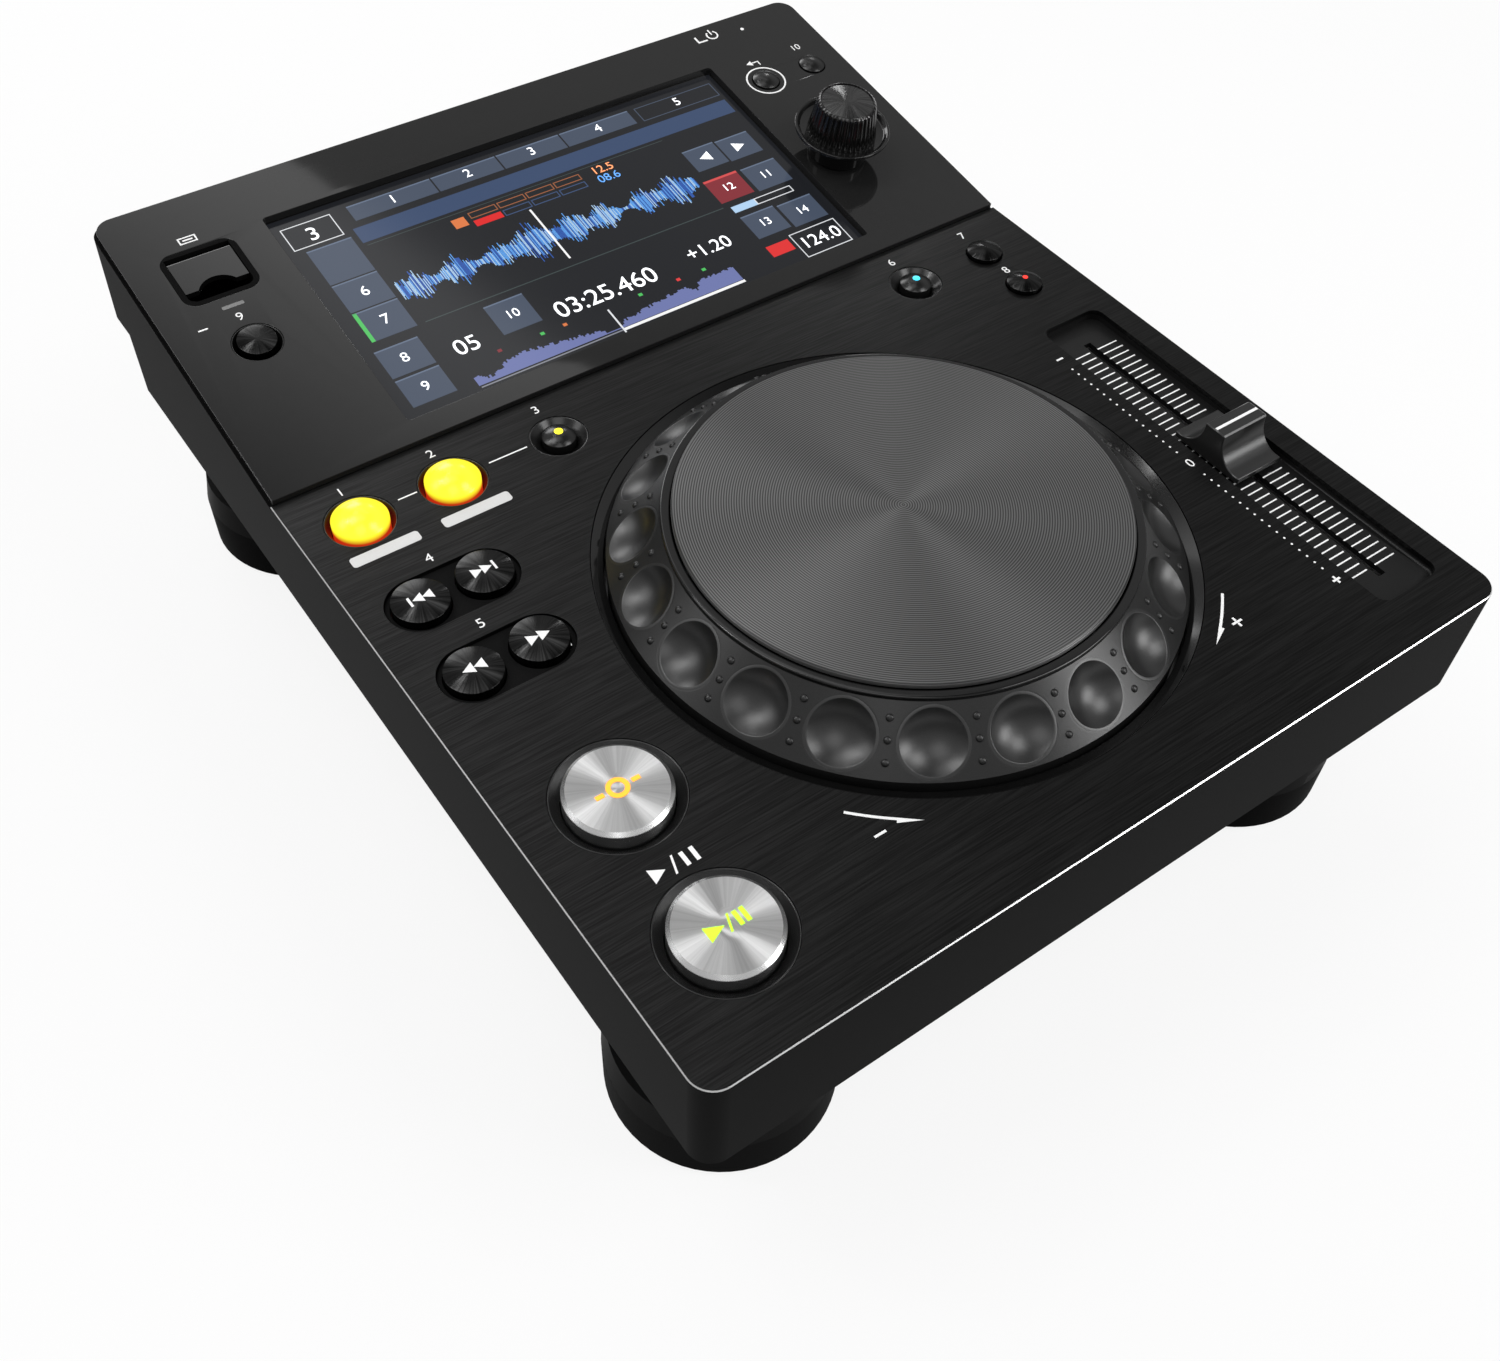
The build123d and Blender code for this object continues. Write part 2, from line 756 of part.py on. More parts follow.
# Bottom cover: flat pressed sheet with vents, standoffs for the boards and bosses for the feet
cover_front = wall + cover_gap
cover_length = jack_y - front_y - cover_front
cover_width = case_width - 2 * (wall + cover_gap)
foot_places = [(side * foot_x, from_front(d)) for side in (-1, 1) for d in foot_from_front]
main_board_length = main_board_from_front[1] - main_board_from_front[0]
main_board_y = from_front(sum(main_board_from_front) / 2)
main_reach_x = main_board_width / 2 - standoff_inset
main_reach_y = main_board_length / 2 - standoff_inset
main_screw_places = [(a * main_reach_x, main_board_y + b * main_reach_y) for a in (-1, 1) for b in (-1, 1)]
jack_board_length = jack_board_from_front[1] - jack_board_from_front[0]
jack_board_y = from_front(sum(jack_board_from_front) / 2)
with BuildPart() as bottom_cover:
    with BuildSketch(Plane.XY.offset(case_bottom)):
        with Locations((0, from_front(cover_front + cover_length / 2))):
            Rectangle(cover_width, cover_length)
        with Locations((0, from_front(vent_from_front))):
            with GridLocations(vent_pitch_x, vent_pitch_y, vent_columns, vent_rows):
                Rectangle(vent_length, vent_width, mode=Mode.SUBTRACT)
    extrude(amount=cover_thickness)
    with BuildSketch(Plane.XY.offset(cover_top)):
        with Locations(*foot_places):
            Circle(foot_boss_radius)
    extrude(amount=foot_boss_height)
    with BuildSketch(Plane.XY.offset(cover_top)):
        with Locations(*main_screw_places):
            Circle(standoff_radius)
    extrude(amount=standoff_height)
    with BuildSketch(Plane.XY.offset(cover_top)):
        with Locations((0, jack_board_y)):
            with GridLocations(jack_board_width - 2 * standoff_inset, 0, 2, 1):
                Circle(standoff_radius)
    extrude(amount=jack_standoff_height)
    with BuildSketch(Plane.XY.offset(cover_top)):
        with Locations(*main_screw_places):
            Circle(board_screw_radius + fit)
    extrude(amount=standoff_height, mode=Mode.SUBTRACT)
    with BuildSketch(Plane.XY.offset(case_bottom)):
        with Locations(*foot_places):
            Circle(foot_screw_radius + fit)
        with Locations(*case_boss_places):
            Circle(case_screw_radius + seat_gap)
    extrude(amount=cover_thickness + foot_boss_height, mode=Mode.SUBTRACT)
save(bottom_cover, "bottom_cover")

# Screws of the case and the feet
with BuildPart() as case_screw:
    with BuildSketch(Plane.XY.offset(case_bottom - case_screw_head_height)):
        Circle(case_screw_head_radius)
    extrude(amount=case_screw_head_height)
    with BuildSketch(Plane.XY.offset(case_bottom)):
        Circle(case_screw_radius)
    extrude(amount=case_screw_length)
foot_screw_seat = case_bottom - foot_screw_grip
with BuildPart() as foot_screw:
    with BuildSketch(Plane.XY.offset(foot_screw_seat - foot_screw_head_height)):
        Circle(foot_screw_head_radius)
    extrude(amount=foot_screw_head_height)
    with BuildSketch(Plane.XY.offset(foot_screw_seat)):
        Circle(foot_screw_radius)
    extrude(amount=foot_screw_grip + cover_thickness + foot_boss_height)
with BuildPart() as case_screws:
    with Locations(*case_boss_places):
        add(case_screw.part)
    with Locations(*foot_places):
        add(foot_screw.part)
save(case_screws, "case_screws")

# Feet: tall plastic legs with a flared shoulder, each on a rubber pad
leg_points = [
    (foot_well_radius, foot_pad_height - foot_spigot_height),
    (foot_spigot_radius, foot_pad_height - foot_spigot_height),
    (foot_spigot_radius, foot_pad_height),
    (foot_radius, foot_pad_height),
    (foot_shoulder_radius, foot_shoulder_height),
    (foot_body_radius, foot_shoulder_height),
    (foot_top_radius, case_bottom),
    (foot_screw_radius + seat_gap, case_bottom),
    (foot_screw_radius + seat_gap, foot_screw_seat),
    (foot_well_radius, foot_screw_seat),
]
with BuildPart() as leg:
    revolve(outline(Plane.XZ, leg_points), axis=Axis.Z)
with BuildPart() as foot_legs:
    with Locations(*foot_places):
        add(leg.part)
save(foot_legs, "foot_legs")

pad_points = [
    (0, pad_hollow_depth),
    (pad_hollow_radius, pad_hollow_depth),
    (pad_hollow_radius, 0),
    (foot_radius - pad_edge, 0),
    (foot_radius, pad_edge),
    (foot_radius, foot_pad_height),
    (foot_spigot_radius + fit, foot_pad_height),
    (foot_spigot_radius + fit, foot_pad_height - foot_spigot_height),
    (0, foot_pad_height - foot_spigot_height),
]
with BuildPart() as pad:
    revolve(outline(Plane.XZ, pad_points), axis=Axis.Z)
with BuildPart() as foot_pads:
    with Locations(*foot_places):
        add(pad.part)
save(foot_pads, "foot_pads")

# Jog well: dished housing under the deck that carries the bearing and hangs on four lugs
jog_plane = upright(jog_x, jog_from_front)
jog_axis = turning_axis(jog_plane)
well_lip_radius = jog_hole_radius + well_lip
well_flange_radius = jog_hole_radius + well_flange
well_flange_foot = -deck_stack - well_flange_thickness
well_floor_foot = well_floor_top - well_floor_thickness
well_points = [
    (bearing_radius + fit, well_floor_top),
    (well_throat_radius, well_floor_top),
    (well_throat_radius, -well_throat_depth),
    (jog_hole_radius, -plate_thickness),
    (well_lip_radius, -plate_thickness),
    (well_lip_radius, -deck_stack),
    (well_flange_radius, -deck_stack),
    (well_flange_radius, well_flange_foot),
    (well_lip_radius, well_flange_foot),
    (well_throat_radius + well_floor_thickness, well_floor_foot),
    (well_hub_radius, well_floor_foot),
    (well_hub_radius, well_hub_foot),
    (bearing_radius + fit, well_hub_foot),
]
with BuildPart() as jog_well:
    revolve(outline(jog_plane, well_points), axis=jog_axis)
    with BuildSketch(Plane.XY.offset(deck_top + well_flange_foot)):
        for x, y in lug_points:
            with Locations((x, y)):
                Circle(lug_radius)
        with Locations((jog_x, jog_y)):
            Circle(jog_hole_radius, mode=Mode.SUBTRACT)
    extrude(amount=well_flange_thickness)
    with BuildSketch(Plane.XY.offset(deck_top + well_flange_foot)):
        with Locations(*lug_points):
            Circle(board_screw_radius + seat_gap)
    extrude(amount=well_flange_thickness, mode=Mode.SUBTRACT)
save(jog_well, "jog_well")

# Jog bearing: flanged bush
bearing_points = [
    (spindle_radius + fit, well_hub_foot),
    (bearing_radius, well_hub_foot),
    (bearing_radius, well_floor_top),
    (bearing_flange_radius, well_floor_top),
    (bearing_flange_radius, well_floor_top + bearing_flange_thickness),
    (spindle_radius + fit, well_floor_top + bearing_flange_thickness),
]
with BuildPart() as jog_bearing:
    revolve(outline(jog_plane, bearing_points), axis=jog_axis)
save(jog_bearing, "jog_bearing")

# Jog ring: conical grip with finger dimples and small domes, on a web and hub
jog_rim_radius = jog_plate_radius + jog_side_gap
jog_cone_radius = jog_rim_radius + jog_rim_width
cone_run = jog_ring_radius - jog_cone_radius
cone_drop = jog_cone_top - jog_cone_foot
cone_slant = sqrt(cone_run ** 2 + cone_drop ** 2)
cone_out = cone_drop / cone_slant
cone_up = cone_run / cone_slant
inner_offset_r = jog_ring_wall * cone_out
inner_offset_z = jog_ring_wall * cone_up


def cone_point(share, height):
    """Radius and height of a point down the cone, raised along the cone's normal."""
    radius = jog_cone_radius + share * cone_run + height * cone_out
    z = jog_cone_top - share * cone_drop + height * cone_up
    return (radius, z)


def web_edge(z):
    """Radius of the cone's inner face at one height."""
    share = (jog_cone_top - inner_offset_z - z) / cone_drop
    return jog_cone_radius - inner_offset_r + share * cone_run


jog_web_foot = jog_web_top - jog_web_thickness
touch_top = jog_plate_top - jog_plate_thickness - touch_gap
support_top = touch_top - touch_sheet_thickness
support_inner = touch_ring_radius - touch_support_width / 2
support_outer = touch_ring_radius + touch_support_width / 2
ring_points = [
    (guide_radius + fit, guide_bore_floor),
    (guide_radius + fit, jog_hub_top),
    (jog_hub_radius, jog_hub_top),
    (jog_hub_radius, jog_web_top),
    (support_inner, jog_web_top),
    (support_inner, support_top),
    (support_outer, support_top),
    (support_outer, jog_web_top),
    (web_edge(jog_web_top), jog_web_top),
    (jog_rim_radius, jog_cone_top - inner_offset_z),
    (jog_rim_radius, jog_rim_top),
    (jog_cone_radius - (jog_rim_top - jog_cone_top), jog_rim_top),
    (jog_cone_radius, jog_cone_top),
    (jog_ring_radius, jog_cone_foot),
    (jog_ring_radius, jog_skirt_foot),
    (jog_ring_radius - jog_skirt_wall, jog_skirt_foot),
    (jog_ring_radius - jog_skirt_wall, jog_cone_foot - inner_offset_z),
    (web_edge(jog_web_foot), jog_web_foot),
    (jog_hub_radius, jog_web_foot),
    (jog_hub_radius, jog_hub_foot),
    (spindle_radius + fit, jog_hub_foot),
    (spindle_radius + fit, spindle_bore_top),
    (0, spindle_bore_top),
    (0, guide_bore_floor),
]
dimple_ball = (dimple_radius ** 2 + dimple_depth ** 2) / (2 * dimple_depth)
dimple_share = 0.5
ball_r, ball_z = cone_point(dimple_share, dimple_ball - dimple_depth)
dimple_pitch = 360 / dimple_count
with BuildPart() as jog_ring:
    revolve(outline(jog_plane, ring_points), axis=jog_axis)
    with Locations((jog_x, jog_y, deck_top + ball_z)):
        with PolarLocations(ball_r, dimple_count, dimple_phase):
            Sphere(dimple_ball, mode=Mode.SUBTRACT)
    for share in dome_shares:
        dome_r, dome_z = cone_point(share, 0)
        with Locations((jog_x, jog_y, deck_top + dome_z)):
            with PolarLocations(dome_r, dimple_count, dimple_phase + dimple_pitch / 2):
                Sphere(dome_radius)
save(jog_ring, "jog_ring")

# Jog top plate: grooved disc with a guide pin, floating on the touch sheet
plate_foot = jog_plate_top - jog_plate_thickness
top_plate_points = [
    (0, guide_end),
    (guide_radius, guide_end),
    (guide_radius, plate_foot),
    (jog_plate_radius, plate_foot),
    (jog_plate_radius, jog_plate_top - jog_plate_chamfer),
    (jog_plate_radius - jog_plate_chamfer, jog_plate_top),
    (0, jog_plate_top),
]
with BuildPart() as jog_top_plate:
    revolve(outline(jog_plane, top_plate_points), axis=jog_axis)
save(jog_top_plate, "jog_top_plate")

# Touch sheet: ring-shaped membrane switch that the top plate presses
with BuildPart() as jog_touch_sheet:
    with BuildSketch(Plane.XY.offset(deck_top + support_top)):
        with Locations((jog_x, jog_y)):
            Circle(touch_ring_radius + touch_ring_width / 2)
            Circle(touch_ring_radius - touch_ring_width / 2, mode=Mode.SUBTRACT)
    extrude(amount=touch_sheet_thickness)
save(jog_touch_sheet, "jog_touch_sheet")

# Jog spindle and slotted encoder disc
with BuildPart() as jog_spindle:
    with BuildSketch(Plane.XY.offset(deck_top + spindle_foot)):
        with Locations((jog_x, jog_y)):
            Circle(spindle_radius)
    extrude(amount=spindle_top - spindle_foot)
save(jog_spindle, "jog_spindle")

encoder_hub_top = well_hub_foot - seat_gap
slot_middle = encoder_radius - encoder_slot_margin - encoder_slot_length / 2
with BuildPart() as encoder_disc:
    with BuildSketch(Plane.XY.offset(deck_top + encoder_disc_height - encoder_thickness / 2)):
        with Locations((jog_x, jog_y)):
            Circle(encoder_radius)
            with PolarLocations(slot_middle, encoder_slots):
                Rectangle(encoder_slot_length, encoder_slot_width, mode=Mode.SUBTRACT)
    extrude(amount=encoder_thickness)
    with BuildSketch(Plane.XY.offset(deck_top + encoder_hub_top - encoder_hub_length)):
        with Locations((jog_x, jog_y)):
            Circle(encoder_hub_radius)
    extrude(amount=encoder_hub_length)
    with BuildSketch(Plane.XY.offset(deck_top + spindle_foot)):
        with Locations((jog_x, jog_y)):
            Circle(spindle_radius + fit)
    extrude(amount=well_hub_foot - spindle_foot, mode=Mode.SUBTRACT)
save(encoder_disc, "encoder_disc")

# Jog sensor: forked light barrier around the disc's rim, under the well's floor
sensor_x = jog_x - encoder_radius + sensor_overlap - sensor_length / 2
with BuildPart() as jog_sensor:
    with BuildSketch(Plane.XY.offset(deck_top + sensor_foot)):
        with Locations((sensor_x, jog_y)):
            Rectangle(sensor_length, sensor_width)
    extrude(amount=well_floor_foot - sensor_foot)
    with BuildSketch(Plane.XY.offset(deck_top + encoder_disc_height - sensor_gap / 2)):
        with Locations((jog_x, jog_y)):
            Circle(encoder_radius + encoder_slot_margin)
    extrude(amount=sensor_gap, mode=Mode.SUBTRACT)
save(jog_sensor, "jog_sensor")

# Fader tray: recessed scale under the deck, with the lever's slot
tray_top = seat_z
tray_floor_top = deck_top - fader_depth
tray_foot = tray_floor_top - tray_floor
slot_length = 2 * fader_travel + lever_length + 2 * slot_margin
tray_outer_width = fader_width + 2 * tray_wall
tray_outer_length = fader_length + 2 * tray_wall
tray_flange_top = seat_z - roof
with BuildPart() as fader_tray:
    with BuildSketch(Plane.XY.offset(tray_foot)):
        with Locations((fader_x, fader_y)):
            RectangleRounded(tray_outer_width, tray_outer_length, fader_corner_radius + tray_wall)
    extrude(amount=tray_top - tray_foot)
    with BuildSketch(Plane.XY.offset(tray_flange_top - tray_flange_thickness)):
        with Locations((fader_x, fader_y)):
            Rectangle(tray_outer_width + 2 * tray_flange, tray_outer_length + 2 * tray_flange)
    extrude(amount=tray_flange_thickness)
    with BuildSketch(Plane.XY.offset(tray_floor_top)):
        with Locations((fader_x, fader_y)):
            RectangleRounded(fader_width, fader_length, fader_corner_radius)
    extrude(amount=fader_depth, mode=Mode.SUBTRACT)
    with BuildSketch(Plane.XY.offset(tray_foot)):
        with Locations((fader_x, fader_y)):
            Rectangle(fader_slot_width, slot_length)
    extrude(amount=tray_floor, mode=Mode.SUBTRACT)
save(fader_tray, "fader_tray")

# Fader body: folded steel channel with a slot along its top
body_foot = tray_foot - fader_body_height
with BuildPart() as fader_body:
    with BuildSketch(Plane.XY.offset(body_foot)):
        with Locations((fader_x, fader_y)):
            Rectangle(fader_body_width, fader_body_length)
    extrude(amount=fader_body_height)
    with BuildSketch(Plane.XY.offset(body_foot + fader_body_wall)):
        with Locations((fader_x, fader_y)):
            Rectangle(fader_body_width - 2 * fader_body_wall, fader_body_length - 2 * fader_body_wall)
    extrude(amount=fader_body_height - 2 * fader_body_wall, mode=Mode.SUBTRACT)
    with BuildSketch(Plane.XY.offset(tray_foot - fader_body_wall)):
        with Locations((fader_x, fader_y)):
            Rectangle(fader_slot_width, slot_length)
    extrude(amount=fader_body_wall, mode=Mode.SUBTRACT)
save(fader_body, "fader_body")

# Fader carriage: slider block with its flat lever
carriage_foot = body_foot + fader_body_wall + carriage_lift
carriage_width = fader_body_width - 2 * (fader_body_wall + carriage_gap)
with BuildPart() as fader_carriage:
    with BuildSketch(Plane.XY.offset(carriage_foot)):
        with Locations((fader_x, fader_y)):
            Rectangle(carriage_width, carriage_length)
    extrude(amount=carriage_height)
    with BuildSketch(Plane.XY.offset(carriage_foot)):
        with Locations((fader_x, fader_y)):
            Rectangle(lever_thickness, lever_length)
    extrude(amount=deck_top + lever_top - carriage_foot)
save(fader_carriage, "fader_carriage")

# Fader cap: scooped on both sides of a straight ridge
cap_foot = cap_lift - fader_depth
wing_y = cap_length / 2 - cap_wing_length
wing_z = cap_foot + cap_wing
ridge_y = cap_ridge / 2
ridge_z = cap_top - cap_ridge_drop
scoop_y = wing_y - ridge_y
scoop_z = ridge_z - wing_z
with BuildPart() as fader_cap:
    with BuildSketch(Plane((fader_x, fader_y, deck_top), x_dir=(0, 1, 0), z_dir=(1, 0, 0))):
        with BuildLine():
            Polyline((-ridge_y, ridge_z), (-ridge_y, cap_top), (ridge_y, cap_top), (ridge_y, ridge_z))
            EllipticalCenterArc((wing_y, ridge_z), scoop_y, scoop_z, start_angle=180, arc_size=90)
            Polyline((wing_y, wing_z), (cap_length / 2, wing_z), (cap_length / 2, cap_foot),
                     (-cap_length / 2, cap_foot), (-cap_length / 2, wing_z), (-wing_y, wing_z))
            EllipticalCenterArc((-wing_y, ridge_z), scoop_y, scoop_z, start_angle=270, arc_size=90)
        make_face()
    extrude(amount=cap_width / 2, both=True)
    chamfer(fader_cap.edges().filter_by(Axis.X).group_by(Axis.Z)[-1], cap_edge)
    with BuildSketch(Plane.XY.offset(deck_top + cap_foot)):
        with Locations((fader_x, fader_y)):
            Rectangle(lever_thickness + 2 * fit, lever_length + 2 * fit)
    extrude(amount=lever_top + fit - cap_foot, mode=Mode.SUBTRACT)
save(fader_cap, "fader_cap")

# Button caps: each a domed cap on a flange and stem, so that it can't be pulled out
for name, spec in buttons.items():
    layers = spec.stack + (ring_flange_thickness if spec.ring or spec.cap == pair_cap_radius else 0)
    flange_top = -layers - seat_gap
    flange_foot = flange_top - button_flange_thickness
    stem_foot = -spec.stack - switch_drop + spec.travel + press_gap
    shoulder = spec.rise - spec.dome
    ball = (spec.cap ** 2 + spec.dome ** 2) / (2 * spec.dome)
    half = spec.cap / 2
    crown = spec.rise - ball + sqrt(ball ** 2 - half ** 2)
    with BuildPart() as button:
        with BuildSketch(spec.plane):
            with BuildLine():
                Polyline((0, spec.rise), (0, stem_foot), (stem_radius, stem_foot), (stem_radius, flange_foot),
                         (spec.cap + button_flange, flange_foot), (spec.cap + button_flange, flange_top),
                         (spec.cap, flange_top), (spec.cap, shoulder))
                ThreePointArc((spec.cap, shoulder), (half, crown), (0, spec.rise))
            make_face()
        revolve(axis=turning_axis(spec.plane))
    save(button, name)

# Button rings: dished collars pushed up through the deck or panel, and the shallow plates of the pairs
with BuildPart() as button_rings:
    for spec in buttons.values():
        if spec.ring:
            ring_foot = -spec.stack - ring_flange_thickness
            ring_points = [
                (spec.cap + button_gap, -ring_dish),
                (spec.ring - ring_land, -ring_sink),
                (spec.ring - fit, -ring_sink),
                (spec.ring - fit, -spec.stack),
                (spec.ring + ring_flange, -spec.stack),
                (spec.ring + ring_flange, ring_foot),
                (spec.cap + button_gap, ring_foot),
            ]
            revolve(outline(spec.plane, ring_points), axis=turning_axis(spec.plane))
    with BuildSketch(Plane.XY.offset(seat_z - roof - ring_flange_thickness)):
        with Locations(*pair_places):
            SlotCenterToCenter(pair_pitch, 2 * (pair_end_radius + ring_flange))
    extrude(amount=ring_flange_thickness)
    with BuildSketch(Plane.XY.offset(seat_z - roof)):
        with Locations(*pair_places):
            SlotCenterToCenter(pair_pitch, 2 * (pair_end_radius - fit))
    extrude(amount=deck_stack - pair_floor_depth)
    with BuildSketch(Plane.XY.offset(seat_z - roof - ring_flange_thickness)):
        with Locations(*pair_places):
            with GridLocations(pair_pitch, 0, 2, 1):
                Circle(pair_cap_radius + button_gap)
    extrude(amount=deck_stack + ring_flange_thickness, mode=Mode.SUBTRACT)
save(button_rings, "button_rings")

# Tact switches, one under each button
with BuildPart() as tact_switches:
    for spec in buttons.values():
        seat = Plane(spec.plane.origin, x_dir=(1, 0, 0), z_dir=spec.plane.y_dir)
        base = seat.offset(-spec.stack - board_drop)
        with BuildSketch(base):
            Rectangle(switch_size, switch_size)
        extrude(amount=switch_body)
        with BuildSketch(base):
            Circle(switch_plunger_radius)
        extrude(amount=switch_height)
save(tact_switches, "tact_switches")

# Control boards under the deck
left_x, inner_x, loop_x = left_board_edges
left_front, loop_front, left_rear = [from_front(distance) for distance in left_board_from_front]
left_board_points = [
    (left_x, left_front),
    (inner_x, left_front),
    (inner_x, loop_front),
    (loop_x, loop_front),
    (loop_x, left_rear),
    (left_x, left_rear),
]
with BuildPart() as left_board:
    extrude(outline(Plane.XY.offset(board_top), left_board_points), amount=-board_thickness)
    with BuildSketch(Plane.XY.offset(board_top - board_thickness)):
        with Locations(*[(x, from_front(distance)) for x, distance in left_bosses]):
            Circle(board_screw_radius + seat_gap)
    extrude(amount=board_thickness, mode=Mode.SUBTRACT)
save(left_board, "left_board")

right_width = right_board_edges[1] - right_board_edges[0]
right_length = right_board_from_front[1] - right_board_from_front[0]
right_bosses = [(x, from_front(d)) for x, d in zip(right_boss_places_x, right_boss_from_front)]
with BuildPart() as right_board:
    with BuildSketch(Plane.XY.offset(board_top)):
        with Locations((sum(right_board_edges) / 2, from_front(sum(right_board_from_front) / 2))):
            Rectangle(right_width, right_length)
        with Locations(*right_bosses):
            Circle(board_screw_radius + seat_gap, mode=Mode.SUBTRACT)
    extrude(amount=-board_thickness)
save(right_board, "right_board")

# Small boards behind the display panel: one for the stop button, one for the browse knob and its buttons
browse_width = browse_board_edges[1] - browse_board_edges[0]
browse_length = browse_board_along[1] - browse_board_along[0]
with BuildPart() as panel_boards:
    with BuildSketch(panel_plane.offset(panel_board_top)):
        with Locations((stop_x, stop_along)):
            Rectangle(stop_board_width, stop_board_length)
        with Locations((sum(browse_board_edges) / 2, sum(browse_board_along) / 2)):
            Rectangle(browse_width, browse_length)
    extrude(amount=-board_thickness)
save(panel_boards, "panel_boards")

# Screws of the control boards and the jog well
with BuildPart() as board_screw:
    with BuildSketch(Plane.XY.offset(-board_screw_head_height)):
        Circle(board_screw_head_radius)
    extrude(amount=board_screw_head_height)
    with BuildSketch(Plane.XY):
        Circle(board_screw_radius)
    extrude(amount=board_screw_length)
with BuildPart() as lug_screw:
    with BuildSketch(Plane.XY.offset(-board_screw_head_height)):
        Circle(board_screw_head_radius)
    extrude(amount=board_screw_head_height)
    with BuildSketch(Plane.XY):
        Circle(board_screw_radius)
    extrude(amount=well_flange_thickness + roof)
main_board_foot = cover_top + standoff_height
main_board_top = main_board_foot + board_thickness
turned_screw = board_screw.part.rotate(Axis.X, 180)
board_foot = board_top - board_thickness
lug_foot = deck_top + well_flange_foot
with BuildPart() as inner_screws:
    with Locations(*[(x, from_front(distance), board_foot) for x, distance in deck_boss_places]):
        add(board_screw.part)
    with Locations(*[(x, y, lug_foot) for x, y in lug_points]):
        add(lug_screw.part)
    with Locations(*[(x, y, main_board_top) for x, y in main_screw_places]):
        add(turned_screw)
save(inner_screws, "inner_screws")

# Screen: touch glass under the window, the display module behind it and the pan that holds both
with BuildPart() as touch_panel:
    with BuildSketch(panel_plane.offset(-panel_thickness - glass_thickness)):
        with Locations((window_x, window_along)):
            Rectangle(glass_width, glass_length)
    extrude(amount=glass_thickness)
save(touch_panel, "touch_panel")

lcd_width = glass_width - 2 * lcd_inset
lcd_length = glass_length - 2 * lcd_inset
with BuildPart() as lcd_module:
    with BuildSketch(panel_plane.offset(-lcd_depth)):
        with Locations((window_x, window_along)):
            Rectangle(lcd_width, lcd_length)
    extrude(amount=lcd_thickness)
save(lcd_module, "lcd_module")

pan_width = glass_width + 2 * glass_fit + 2 * frame_wall
pan_length = glass_length + 2 * glass_fit + 2 * frame_wall
tab_places = [window_start + share * window_length for share in frame_tab_shares]
with BuildPart() as lcd_frame:
    with BuildSketch(panel_plane.offset(-lcd_depth - frame_wall)):
        with Locations((window_x, window_along)):
            Rectangle(pan_width, pan_length)
    extrude(amount=lcd_depth + frame_wall - panel_stack)
    with BuildSketch(panel_plane.offset(-panel_stack - frame_wall)):
        with Locations(*[(window_x, along) for along in tab_places]):
            Rectangle(pan_width + 2 * frame_tab_reach, frame_tab_width)
    extrude(amount=frame_wall)
    with BuildSketch(panel_plane.offset(-lcd_depth)):
        with Locations((window_x, window_along)):
            Rectangle(glass_width + 2 * glass_fit, glass_length + 2 * glass_fit)
    extrude(amount=lcd_depth, mode=Mode.SUBTRACT)
save(lcd_frame, "lcd_frame")

# Browse knob: stem, dished collar and fluted grip in one piece, with a spun disc let into its top
knob_plane = leaning(knob_x, knob_along)
knob_axis = turning_axis(knob_plane)
collar_foot = collar_height - collar_thickness
knob_points = [
    (shaft_radius + fit, knob_cavity_top),
    (knob_cavity_radius, knob_cavity_top),
    (knob_cavity_radius, knob_lift),
    (knob_stem_radius, knob_lift),
    (knob_stem_radius, collar_foot),
    (collar_radius - knob_chamfer, collar_foot),
    (collar_radius, collar_foot + knob_chamfer),
    (collar_radius, collar_height),
    (collar_radius - knob_chamfer, collar_height),
    (grip_radius, collar_height - collar_dish),
    (grip_top_radius, knob_top - knob_chamfer),
    (grip_top_radius - knob_chamfer, knob_top),
    (cap_disc_radius + fit, knob_top),
    (cap_disc_radius + fit, knob_top - cap_disc_thickness),
    (0, knob_top - cap_disc_thickness),
    (0, shaft_top + shaft_end_gap),
    (shaft_radius + fit, shaft_top + shaft_end_gap),
]
flute_plane = Plane(knob_plane.origin, x_dir=(1, 0, 0), z_dir=normal).offset(collar_height)
flute_length = knob_top - collar_height
with BuildPart() as browse_knob:
    revolve(outline(knob_plane, knob_points), axis=knob_axis)
    with BuildSketch(flute_plane):
        with PolarLocations(grip_radius, knob_flutes):
            Circle(flute_radius)
    extrude(amount=flute_length, mode=Mode.SUBTRACT)
save(browse_knob, "browse_knob")

disc_foot = knob_top - cap_disc_thickness
disc_points = [
    (0, disc_foot),
    (cap_disc_radius, disc_foot),
    (cap_disc_radius, knob_top - cap_disc_sink),
    (0, knob_top - cap_disc_sink),
]
with BuildPart() as browse_knob_disc:
    revolve(outline(knob_plane, disc_points), axis=knob_axis)
save(browse_knob_disc, "browse_knob_disc")

# Browse encoder: body and bushing on the small board, with the shaft and its push plunger inside
chamber_foot = panel_board_top + encoder_base_wall
plunger_foot = chamber_foot + plunger_gap
plunger_top = plunger_foot + plunger_height
encoder_base = Plane(knob_plane.origin, x_dir=(1, 0, 0), z_dir=normal)
with BuildPart() as browse_encoder:
    with BuildSketch(encoder_base.offset(panel_board_top)):
        Rectangle(encoder_body_size, encoder_body_size)
    extrude(amount=encoder_body_height)
    with BuildSketch(encoder_base.offset(panel_board_top)):
        Circle(bushing_radius)
    extrude(amount=bushing_top - panel_board_top)
    with BuildSketch(encoder_base.offset(chamber_foot)):
        Circle(shaft_radius + fit)
    extrude(amount=bushing_top - chamber_foot, mode=Mode.SUBTRACT)
save(browse_encoder, "browse_encoder")

